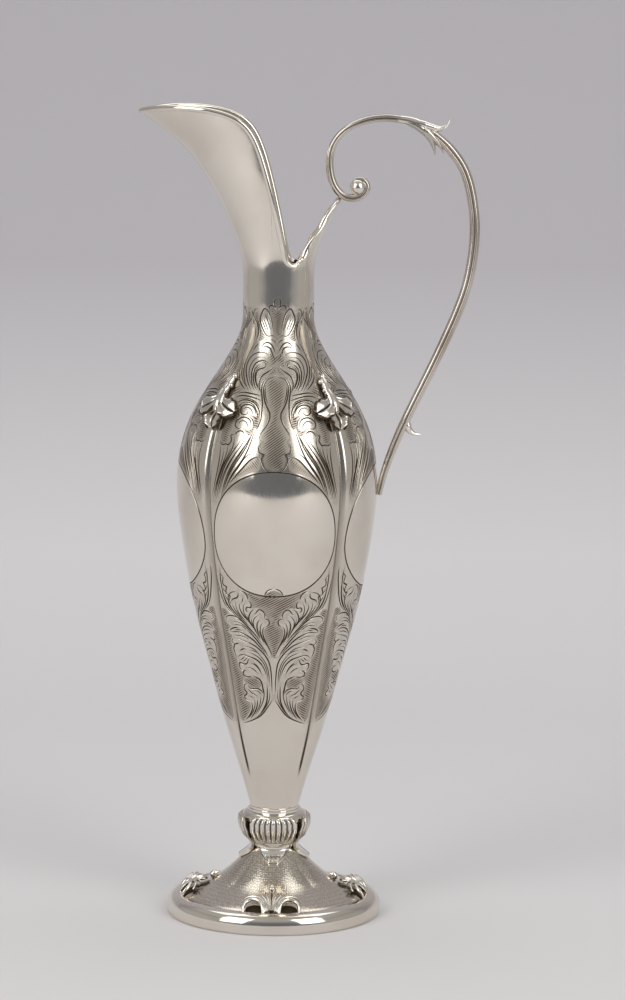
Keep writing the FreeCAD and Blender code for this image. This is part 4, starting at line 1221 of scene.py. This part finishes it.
scroll = ridgedBar("handleScroll", handle["scroll"], handle["scrollThickness"], 120)
seat(scroll, "polished_silver", barSilver, "handle_scroll")
stem = ridgedBar("handleStem", handle["stem"], handle["stemThickness"], 160)
seat(stem, "polished_silver", barSilver, "handle_stem")
print("handle made")


def tube(name, points, radii, steps, sides, flatten=1.0):  # a round bar with its own radius along the way
    path = smoothLine(points, steps)
    along = np.linspace(0, 1, steps)
    radius = np.interp(along, np.linspace(0, 1, len(radii)), radii)
    side, up = pathFrames(path)
    around = np.linspace(0, 2 * math.pi, sides, endpoint=False)
    rings = path[:, None, :] + radius[:, None, None] * (
        np.cos(around)[
            None, :, None,
        ] * side[:, None, :] + flatten * np.sin(around)[None, :, None] * up[:, None, :]
    )
    return sweep(name, path, rings)


# leaves: a raised middle, a vein along it, dark in the vein, and painted shade along the edge
leaf = {
    "crown": 0.35, "veinWidth": 0.14, "rounding": 5,
    "veinDark": 0.6, "veinDarkWidth": 0.12, "edgeShade": 0.4, "edgeShadeWidth": 0.06,
}


def leafSheet(name, spine, widths, place, cup, vein, thickness, rows, columns):
    path = smoothLine(spine, rows)  # spine points as (across, along, height)
    share = np.linspace(0, 1, rows)
    half = np.interp(share, [w[0] for w in widths], [w[1] for w in widths])
    even = np.ones(leaf["rounding"]) / leaf["rounding"]
    half = np.convolve(np.pad(half, leaf["rounding"] // 2, "edge"), even, "valid")  # rounded scallops
    tangent = np.gradient(path[:, :2], axis=0)
    tangent /= np.linalg.norm(tangent, axis=1)[:, None]
    side = np.stack([-tangent[:, 1], tangent[:, 0]], 1)
    v = np.linspace(-1, 1, columns)
    points = []
    for i in range(rows):
        flat = path[i, :2] + np.outer(v * half[i], side[i])
        height = path[i, 2] + cup * v ** 4 + leaf["crown"] * (1 - v ** 2)
        height = height - vein * np.exp(-(v / leaf["veinWidth"]) ** 2) * min(1, half[i])
        points += [place(a, b, h) for (a, b), h in zip(flat, height)]
    piece = meshPiece(name, points, gridFaces(rows, columns))
    dark = leaf["veinDark"] * np.exp(-(v / leaf["veinDarkWidth"]) ** 2)
    # painted shade along the leaf's edge, where it meets the surface below
    dark = dark + leaf["edgeShade"] * np.exp(-((1 - np.abs(v)) / leaf["edgeShadeWidth"]) ** 2)
    markOxideAndShade(piece, np.tile(dark, rows))
    cleanMesh(piece, 60, merge=0.000005)
    applyModifier(piece, "SOLIDIFY", thickness=thickness * mm, offset=-1.0, use_even_offset=False)
    return piece


def seatQuarters(piece, name, ends, nodes):  # four cast copies round the axis
    for copy, node in zip(quarterCopies(piece, [name + "_" + end for end in ends]), nodes):
        seat(copy, "cast_silver", castSilver, node)


def ball(place, radius, segments, rings):
    deselectAll()
    bpy.ops.mesh.primitive_uv_sphere_add(
        segments=segments, ring_count=rings, radius=radius * mm, location=Vector(place) * mm,
    )
    bpy.ops.object.transform_apply(location=True, rotation=True, scale=True)
    return bpy.context.object


quarterNames = ("front", "right", "back", "left")

# domed foot: share of its rise, of its reach and of its groove, from edge to top
dome = {
    "edge": 6.4, "top": 27.0, "topRadius": 8.4, "reach": 28.75, "wall": 1.2,
    "shares": [
        (0.0, 1.0, 1.0), (0.08, 0.958, 0.985), (0.235, 0.683, 0.945), (0.455, 0.404, 0.925),
        (0.72, 0.195, 0.94), (1.0, 0.0, 1.0),
    ],
    "rows": 70, "columns": 45, "samples": 200, "insetDrop": 0.6,
}
domeRise = [row[0] for row in dome["shares"]]
domeSwell = spline(domeRise, [row[1] for row in dome["shares"]])
domeGroove = spline(domeRise, [row[2] for row in dome["shares"]])


def domeRadius(phi, rise):
    r = dome["topRadius"] + dome["reach"] * domeSwell(rise)
    share = np.minimum(domeGroove(rise), 1.0)
    offset = r * (1 - share ** 2) / (2 * (1 - share * math.sqrt(0.5)))
    return offset * np.cos(phi) + np.sqrt((r - offset) ** 2 - (offset * np.sin(phi)) ** 2)


def domeHeight(phi, radius):  # height of the dome's skin at a radius
    rises = np.linspace(0, 1, dome["samples"])
    rise = np.interp(-radius, -domeRadius(phi, rises), rises)
    return dome["edge"] + (dome["top"] - dome["edge"]) * rise


def domedFoot():
    rises = np.linspace(0, 1, dome["rows"])
    local = np.radians(np.linspace(-45, 45, dome["columns"]))[:-1]
    rings = []
    for inset, order in ((0.0, rises), (dome["wall"], rises[::-1])):
        for rise in order:
            r = np.tile(domeRadius(local, rise), lobeCount) - inset
            turn = np.concatenate([local + quarter * k for k in range(lobeCount)])
            z = dome["edge"] + (dome["top"] - dome["edge"]) * rise - inset * dome["insetDrop"]
            rings.append(np.stack([r * np.sin(turn), -r * np.cos(turn), np.full_like(r, z)], 1))
    rings = np.array(rings)
    piece = meshPiece("footDome", rings.reshape(-1, 3), gridFaces(len(rings), rings.shape[1], True, True))
    cleanMesh(piece, 25)
    return seat(piece, "engraved_silver", hatchedSilver, "foot_dome")


domedFoot()

# foot mounts: bent straps over dark sheets of painted shade in their pockets, a fan of three blades and a
# bud; (across, from the axis, lift)
footMount = {
    "straps": [
        (
            [
                (3.1, 36.8, 0.4), (3.4, 35.4, 1.4), (4.8, 33.8, 2.1), (6.9, 33.0, 2.3), (9.2, 33.4, 2.0),
                (10.6, 34.8, 1.5), (10.4, 36.0, 0.9), (9.4, 35.8, 0.9),
            ],
            [0.75, 0.8, 0.8, 0.75, 0.6, 0.35],
        ),
        (
            [
                (2.3, 36.4, 0.5), (2.9, 34.4, 1.6), (4.6, 32.6, 2.2), (7.2, 31.6, 2.2), (9.8, 31.7, 1.8),
                (11.5, 32.6, 1.2),
            ],
            [0.6, 0.65, 0.6, 0.5, 0.3],
        ),
        (
            [(1.5, 36.4, 0.6), (1.8, 34.4, 1.5), (2.9, 32.4, 1.9), (4.6, 30.9, 1.8), (6.6, 30.2, 1.2)],
            [0.6, 0.65, 0.6, 0.25],
        ),
        ([(0.8, 36.2, 0.6), (1.0, 33.8, 1.3), (1.8, 31.4, 1.6), (3.4, 29.0, 1.2)], [0.55, 0.6, 0.55, 0.25]),
    ],
    "fan": [(0.0, 36.2, 0.5), (0.0, 33.5, 0.9), (0.0, 31.0, 1.0), (0.0, 28.4, 0.8)],
    "fanWidths": [(0.0, 0.9), (0.4, 1.1), (0.75, 2.2), (0.93, 2.9), (1.0, 2.2)],
    "bud": [(0.0, 27.6, 0.2), (0.0, 26.4, 0.9), (0.0, 25.2, 0.7)],
    "shadePocket": (6.8, 35.1, 3.5, 1.9), "shadePocketLift": 0.12, "shadePocketRings": 6, "shadePocketTurns": 24,
    "shadePocketThickness": 0.2,
    "edge": 37.0, "stretch": 1.3, "slopeStep": 0.4,
    "nodes": ["foot_leaf_front", "foot_leaf_handle", "foot_leaf_back", "foot_leaf_lip"],
}


def footPlace(a, s, h):  # on the dome in front, lifted along its slope
    s = footMount["edge"] - (footMount["edge"] - s) * footMount["stretch"]
    h *= footMount["stretch"]
    turn = math.atan2(a, s)
    radius = math.hypot(a, s)
    step = footMount["slopeStep"]
    slope = (domeHeight(turn, radius - step) - domeHeight(turn, radius + step)) / (2 * step)
    lean = math.hypot(1, slope)
    z = float(domeHeight(turn, radius)) + h / lean
    radius += h * slope / lean
    return (radius * math.sin(turn), -radius * math.cos(turn), z)


def footMounts():
    parts = []
    for sideways in (1, -1):
        for line, radii in footMount["straps"]:
            parts.append(tube("strap", [footPlace(a * sideways, s, h) for a, s, h in line], radii, 30, 10))
        # painted shade: a dark sheet laid under each strap's arch, where the pocket lies in shade
        across, away, wide, deep = footMount["shadePocket"]
        rings, turns = footMount["shadePocketRings"], footMount["shadePocketTurns"]
        shadePocket = []
        for ring in np.linspace(0.02, 1, rings):
            for turn in np.linspace(0, 2 * math.pi, turns, endpoint=False):
                x = (across + wide * ring * math.cos(turn)) * sideways
                shadePocket.append(footPlace(x, away + deep * ring * math.sin(turn), footMount["shadePocketLift"]))
        parts.append(meshPiece("shadePocket", shadePocket, gridFaces(rings, turns, closedColumns=True)))
        applyModifier(parts[-1], "SOLIDIFY", thickness=footMount["shadePocketThickness"] * mm, offset=0.0)
        markOxideAndShade(parts[-1], np.ones(len(parts[-1].data.vertices)))
    fan, widths = footMount["fan"], footMount["fanWidths"]
    parts.append(leafSheet("fan", fan, widths, footPlace, 0.5, 0.2, thickness=0.7, rows=16, columns=15))
    parts.append(tube("bud", [footPlace(*p) for p in footMount["bud"]], [0.3, 1.5, 1.3, 0.5], 16, 14))
    piece = joined(parts, "footMount")
    cleanMesh(piece, 50)
    seatQuarters(piece, "footMount", quarterNames, footMount["nodes"])


# knop: a turned bulb with four fluted leaves laid on it
knop = {
    "profile": [
        (0.0, 41.5), (9.6, 41.5), (10.9, 41.2), (12.2, 40.5), (13.0, 39.2), (13.2, 37.6), (12.9, 35.6),
        (12.1, 33.2), (11.0, 31.0),
        (10.0, 29.2), (9.2, 27.6), (8.8, 26.2), (8.6, 25.0), (0.0, 25.0),
    ],
    "leafTop": 39.9, "leafTip": 22.9, "flutes": 9,
    "widths": [
        (0.0, 7.4), (0.05, 9.0), (0.14, 10.0), (0.36, 9.9), (0.5, 8.6), (0.64, 6.9), (0.78, 5.8),
        (0.88, 4.8), (0.95, 3.6), (1.0, 1.8),
    ],
    "flare": [(0.0, 0.55), (0.2, 0.95), (0.5, 0.85), (0.66, 0.75), (0.78, 1.3), (0.9, 3.1), (1.0, 5.2)],
    "thickness": 1.0, "leafRows": 56, "leafColumns": 73,
    "fluteStart": 0.04, "fluteEnd": 0.6, "fluteFade": 0.08, "fluteDepth": 0.6, "fluteDark": 0.5,
    "rimHeight": 0.45, "rimWidth": 0.07, "dishDepth": 0.5, "dishStart": 0.62, "dishFade": 0.1,
    "nodes": ["knop_leaf_front", "knop_leaf_handle", "knop_leaf_back", "knop_leaf_lip"],
}
knopRadius = spline([z for _, z in knop["profile"][-2:0:-1]], [r for r, _ in knop["profile"][-2:0:-1]])


def knopLeaf():
    rows, columns = knop["leafRows"], knop["leafColumns"]
    v = np.linspace(-1, 1, columns)
    wave = np.abs(np.cos(v * math.pi * knop["flutes"] / 2))
    rim = knop["rimHeight"] * np.exp(-((1 - np.abs(v)) / knop["rimWidth"]) ** 2)
    points, dark = [], []
    for share in np.linspace(0, 1, rows):
        z = knop["leafTop"] + (knop["leafTip"] - knop["leafTop"]) * share
        half = np.interp(share, [w[0] for w in knop["widths"]], [w[1] for w in knop["widths"]])
        lift = np.interp(share, [w[0] for w in knop["flare"]], [w[1] for w in knop["flare"]])
        fluted = np.clip((knop["fluteEnd"] - share) / knop["fluteFade"], 0, 1)
        fluted = fluted * np.clip(share / knop["fluteStart"], 0, 1)
        dish = -knop["dishDepth"] * (1 - v ** 2) * np.clip(
            (share - knop["dishStart"]) / knop["dishFade"], 0, 1,
        )
        dish = dish * np.clip((1.0 - share) / knop["dishFade"], 0, 1)
        base = float(knopRadius(max(z, knop["profile"][-1][1]))) + lift
        radius = base + knop["fluteDepth"] * wave * fluted + rim + dish
        turn = v * half / base
        dark += (knop["fluteDark"] * fluted * (1 - wave) ** 2).tolist()
        points += np.stack([radius * np.sin(turn), -radius * np.cos(turn), np.full(columns, z)], 1).tolist()
    piece = meshPiece("knopLeaf", points, gridFaces(rows, columns))
    markOxideAndShade(piece, dark)
    cleanMesh(piece, 60)
    applyModifier(piece, "SOLIDIFY", thickness=knop["thickness"] * mm, offset=-1.0)
    cleanMesh(piece, 50)
    seatQuarters(piece, "knopLeaf", quarterNames, knop["nodes"])


def turnedKnop():
    inner = knop["profile"][1:-1]
    line = smoothLine(inner[1:], 40).tolist()
    piece = turned("knopCore", [knop["profile"][0], inner[0]] + line + [knop["profile"][-1]], 96, 40)
    return seat(piece, "polished_silver", polishedSilver, "knop_core")


# shoulder mounts: a notched stalk opening into three scalloped petals, laid over each groove
shoulderMount = {
    "height": 204.5, "share": 0.95, "slope": 27.0,
    "stalk": [(0.6, 11.8, 1.2), (0.2, 9.0, 1.6), (-0.2, 5.6, 2.0), (0.0, 2.0, 2.2), (0.0, -2.6, 1.6)],
    "stalkRadii": [1.0, 1.5, 1.5, 2.1, 2.7, 2.2],
    "knobs": [(1.1, 12.2, 1.3, 1.15), (-0.9, 10.2, 1.4, 1.2), (1.3, 8.2, 1.7, 1.15), (-1.2, 6.4, 1.9, 1.0)],
    "sidePetal": [(0.4, 3.8, 2.2), (2.0, 0.9, 3.2), (4.6, -1.2, 3.6), (8.6, -2.9, 2.8)],
    "sideWidths": [
        (0.0, 1.2), (0.25, 1.9), (0.45, 2.7), (0.6, 3.9), (0.7, 3.0), (0.8, 3.7), (0.9, 2.8), (0.97, 1.7),
        (1.0, 0.5),
    ],
    "lowPetal": [(0.0, -1.0, 1.0), (0.0, -4.2, 2.2), (0.0, -7.2, 2.8), (0.0, -9.8, 1.8)],
    "lowWidths": [
        (0.0, 1.7), (0.3, 2.5), (0.48, 4.0), (0.6, 4.3), (0.72, 3.0), (0.84, 3.4), (0.94, 2.2), (1.0, 0.6),
    ],
    "nodes": [
        "shoulder_leaf_front_handle", "shoulder_leaf_back_handle", "shoulder_leaf_back_lip",
        "shoulder_leaf_front_lip",
    ],
}


def shoulderPlace(a, b, h):  # over the front right groove
    lean = math.radians(shoulderMount["slope"])
    z = shoulderMount["height"] + b * math.cos(lean)
    base = float(lobeRadius(z)) * shoulderMount["share"]
    turn = math.pi / 4 + a / base
    radius = base + h * math.cos(lean)
    return (radius * math.sin(turn), -radius * math.cos(turn), z + h * math.sin(lean))


def shoulderMounts():
    stalk = [shoulderPlace(*p) for p in shoulderMount["stalk"]]
    parts = [tube("stalk", stalk, shoulderMount["stalkRadii"], 40, 16)]
    parts += [ball(shoulderPlace(a, b, h), size, 16, 10) for a, b, h, size in shoulderMount["knobs"]]
    petals = []
    for way in (1, -1):
        petals.append(
            ([(a * way, b, h) for a, b, h in shoulderMount["sidePetal"]], shoulderMount["sideWidths"])
        )
    petals.append((shoulderMount["lowPetal"], shoulderMount["lowWidths"]))
    for spine, widths in petals:
        petal = leafSheet(
            "petal", spine, widths, shoulderPlace, 0.9, 0.6, thickness=1.0, rows=48, columns=25,
        )
        parts.append(petal)
    piece = joined(parts, "shoulderMount")
    cleanMesh(piece, 50)
    seatQuarters(piece, "shoulderMount", "1234", shoulderMount["nodes"])


# handle fittings: leaf points where scroll and stem meet, a spur on the stem and the bead in the volute
fittings = {
    "collar": [(45.6, 0, 315.0), (49.6, 0, 314.4), (53.6, 0, 313.0), (56.4, 0, 311.2)],
    "points": [
        (
            [
                (48.0, 0, 314.6), (54.0, 0, 313.5), (59.4, 0, 311.9), (62.8, 0, 311.6), (65.0, 0, 313.0),
                (66.0, 0, 315.3),
            ],
            [1.6, 2.1, 2.4, 2.0, 1.2, 0.1],
        ),
        (
            [(48.0, 0, 314.4), (53.4, 0, 312.4), (57.8, 0, 308.6), (59.6, 0, 304.8), (60.3, 0, 301.0)],
            [1.6, 2.2, 2.5, 2.1, 1.2, 0.1],
        ),
        (
            [(51.0, 0, 313.2), (56.6, 0, 310.6), (60.6, 0, 306.8), (62.6, 0, 304.2), (63.6, 0, 301.8)],
            [1.6, 2.3, 2.5, 2.0, 1.1, 0.1],
        ),
    ],
    "spur": [(50.4, 0, 198.6), (51.0, 0, 195.0), (53.0, 0, 192.4), (56.2, 0, 191.9)],
    "bead": (30.5, 0.0, 288.5), "beadRadius": 3.2, "underShade": 0.13,
}


def handleFittings():
    parts = [tube("collar", fittings["collar"], [1.6, 1.8, 2.1, 2.3, 2.1], 24, 18)]
    parts += [tube("point", line, radii, 40, 14, 0.75) for line, radii in fittings["points"]]
    for part in parts[2:]:  # painted shade: the points on the under side are darker
        markOxideAndShade(part, np.full(len(part.data.vertices), fittings["underShade"]))
    sheath = joined(parts, "handleSheath")
    cleanMesh(sheath, 50)
    seat(sheath, "cast_silver", castSilver, "handle_sheath")
    spur = tube("handleSpur", fittings["spur"], [1.2, 1.7, 1.1, 0.2], 30, 14)
    cleanMesh(spur, 50)
    seat(spur, "cast_silver", castSilver, "handle_spur")
    bead = ball(fittings["bead"], fittings["beadRadius"], 28, 16)
    bead.name = "voluteBead"
    bead.data.shade_smooth()
    seat(bead, "cast_silver", castSilver, "volute_bead")


# foot band: one rounded section round the dome
footBand = {"section": [
    (37.2, 0.0), (41.7, 0.0), (42.15, 0.35), (42.35, 1.0), (42.4, 2.2), (42.38, 3.6), (42.2, 4.9),
    (41.7, 6.1),
    (40.9, 7.1), (39.8, 7.75), (38.5, 8.0), (37.2, 8.0), (37.2, 0.0),
]}
seat(turned("footBand", footBand["section"], 192, 40), "polished_silver", polishedSilver, "foot_rim")

footMounts()
turnedKnop()
knopLeaf()
shoulderMounts()
handleFittings()
print("foot, knop and mounts made")

# floor with a rising back, its colour greyer towards the top as painted shade
stage = {
    "back": 900, "front": -1150, "side": 1400, "bend": 500, "bendSteps": 12, "top": 1500,
    "floor": (-400, 200),
    "near": (0.752, 0.742, 0.755, 1), "farShade": (0.535, 0.517, 0.548, 1), "toneLow": 0.05, "toneHigh": 0.2,
    "rough": 0.9,
}


def backdrop():
    rows = [(y, 0.0) for y in (stage["front"], *stage["floor"])]
    for k in range(stage["bendSteps"] + 1):
        a = quarter * k / stage["bendSteps"]
        y = stage["back"] - stage["bend"] + stage["bend"] * math.sin(a)
        rows.append((y, stage["bend"] * (1 - math.cos(a))))
    rows.append((stage["back"], stage["top"]))
    points = [(x, y, z) for y, z in rows for x in (-stage["side"], stage["side"])]
    faces = [(2 * i, 2 * i + 1, 2 * i + 3, 2 * i + 2) for i in range(len(rows) - 1)]
    piece = meshPiece("backdrop", points, faces)
    piece.data.shade_smooth()
    material = bpy.data.materials.new("paleGround")
    material.use_nodes = True
    tree = material.node_tree
    shader = tree.nodes["Principled BSDF"]
    split = addNode(tree, "SeparateXYZ", {"Vector": addNode(tree, "TexCoord", {}).outputs["Object"]})
    ramp = addNode(tree, "MapRange", {
        "Value": split.outputs["Z"], "From Min": stage["toneLow"], "From Max": stage["toneHigh"],
    })
    # painted shade: the colour darkens from the near floor to the top of the back
    tone = addNode(tree, "Mix", {
        "Factor": ramp.outputs["Result"], 6: stage["near"], 7: stage["farShade"],
    }, data_type="RGBA")
    tree.links.new(tone.outputs[2], shader.inputs["Base Color"])
    shader.inputs["Roughness"].default_value = stage["rough"]
    either = addNode(tree, "MixShader", {  # seen from behind it is clear
        "Fac": addNode(tree, "NewGeometry", {}).outputs["Backfacing"],
        1: shader.outputs["BSDF"], 2: addNode(tree, "BsdfTransparent", {}).outputs["BSDF"],
    })
    tree.links.new(either.outputs["Shader"], tree.nodes["Material Output"].inputs["Surface"])
    piece.data.materials.append(material)


backdrop()

# two tall soft boxes in front, a weak light over the back of the floor and a weak room
lights = {
    "distance": 1.35, "azimuth": 44, "height": 0.84, "aim": 0.16, "size": (0.75, 1.25), "power": 8.3,
    "warm": (1.0, 0.985, 0.96), "ceiling": 5.6, "ceilingPlace": (0, 0.45, 1.6), "ceilingSize": (1.8, 0.9),
    "roomLow": (0.16, 0.165, 0.18, 1), "roomHigh": (0.42, 0.41, 0.40, 1),
    "above": (0.3, 0.65), "beside": (0.6, 0.95),
}


def areaLight(name, place, size, power):
    bpy.ops.object.light_add(type="AREA", location=place)
    lamp = bpy.context.object
    lamp.name = name
    lamp.data.shape = "RECTANGLE"
    lamp.data.size, lamp.data.size_y = size
    lamp.data.energy = power
    return lamp


def softBox(name, azimuth):
    a = math.radians(azimuth)
    place = Vector((math.sin(a), -math.cos(a), 0)) * lights["distance"] + Vector((0, 0, lights["height"]))
    lamp = areaLight(name, place, lights["size"], lights["power"])
    lamp.data.color = lights["warm"]
    lamp.rotation_euler = (Vector((0, 0, lights["aim"])) - place).to_track_quat("-Z", "Y").to_euler()


deselectAll()
areaLight("ceilingLight", lights["ceilingPlace"], lights["ceilingSize"], lights["ceiling"])
softBox("leftBox", -lights["azimuth"])
softBox("rightBox", lights["azimuth"])
world = bpy.context.scene.world or bpy.data.worlds.new("room")
bpy.context.scene.world = world
world.use_nodes = True


def roomShade(tree):  # dark in front at eye level, paler above and at the sides
    split = addNode(tree, "SeparateXYZ", {"Vector": addNode(tree, "TexCoord", {}).outputs["Generated"]})
    aside = addNode(tree, "Math", {0: split.outputs["X"]}, operation="ABSOLUTE")
    parts = []
    ramps = ((split.outputs["Z"], lights["above"]), (aside.outputs["Value"], lights["beside"]))
    for source, (low, high) in ramps:
        part = addNode(tree, "MapRange", {"Value": source, "From Min": low, "From Max": high})
        parts.append(part.outputs["Result"])
    either = addNode(tree, "Math", dict(enumerate(parts)), operation="MAXIMUM")
    tone = addNode(tree, "Mix", {
        "Factor": either.outputs["Value"], 6: lights["roomLow"], 7: lights["roomHigh"],
    }, data_type="RGBA")
    tree.links.new(tone.outputs[2], tree.nodes["Background"].inputs["Color"])


roomShade(world.node_tree)

# camera: distance, height and aim as in the photograph
view = {
    "distance": 1450, "height": 367, "aside": 14, "azimuth": 1.0, "pitch": 7.915, "roll": 0.55,
    "focalPixels": 3719, "imageHeight": 1000, "sensor": 36, "nearest": 0.01,
}


def photoCamera():
    turn = math.radians(view["azimuth"])
    place = Vector((
        view["aside"] * math.cos(turn) + view["distance"] * math.sin(turn),
        view["aside"] * math.sin(turn) - view["distance"] * math.cos(turn),
        view["height"],
    )) * mm
    lens = bpy.data.cameras.new("photoCamera")
    lens.sensor_width = view["sensor"]
    lens.sensor_fit = "AUTO"
    lens.lens = view["focalPixels"] / view["imageHeight"] * view["sensor"]
    lens.clip_start = view["nearest"]
    camera = bpy.data.objects.new("photoCamera", lens)
    bpy.context.scene.collection.objects.link(camera)
    aim = Matrix.Rotation(turn, 4, "Z") @ Matrix.Rotation(math.radians(90 - view["pitch"]), 4, "X")
    camera.matrix_world = Matrix.Translation(place) @ aim @ Matrix.Rotation(
        math.radians(view["roll"]), 4, "Z",
    )
    bpy.context.scene.camera = camera


photoCamera()
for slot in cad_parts["base_ring"].material_slots:
    slot.material = polishedSilver
bpy.context.scene.view_settings.view_transform = "Standard"
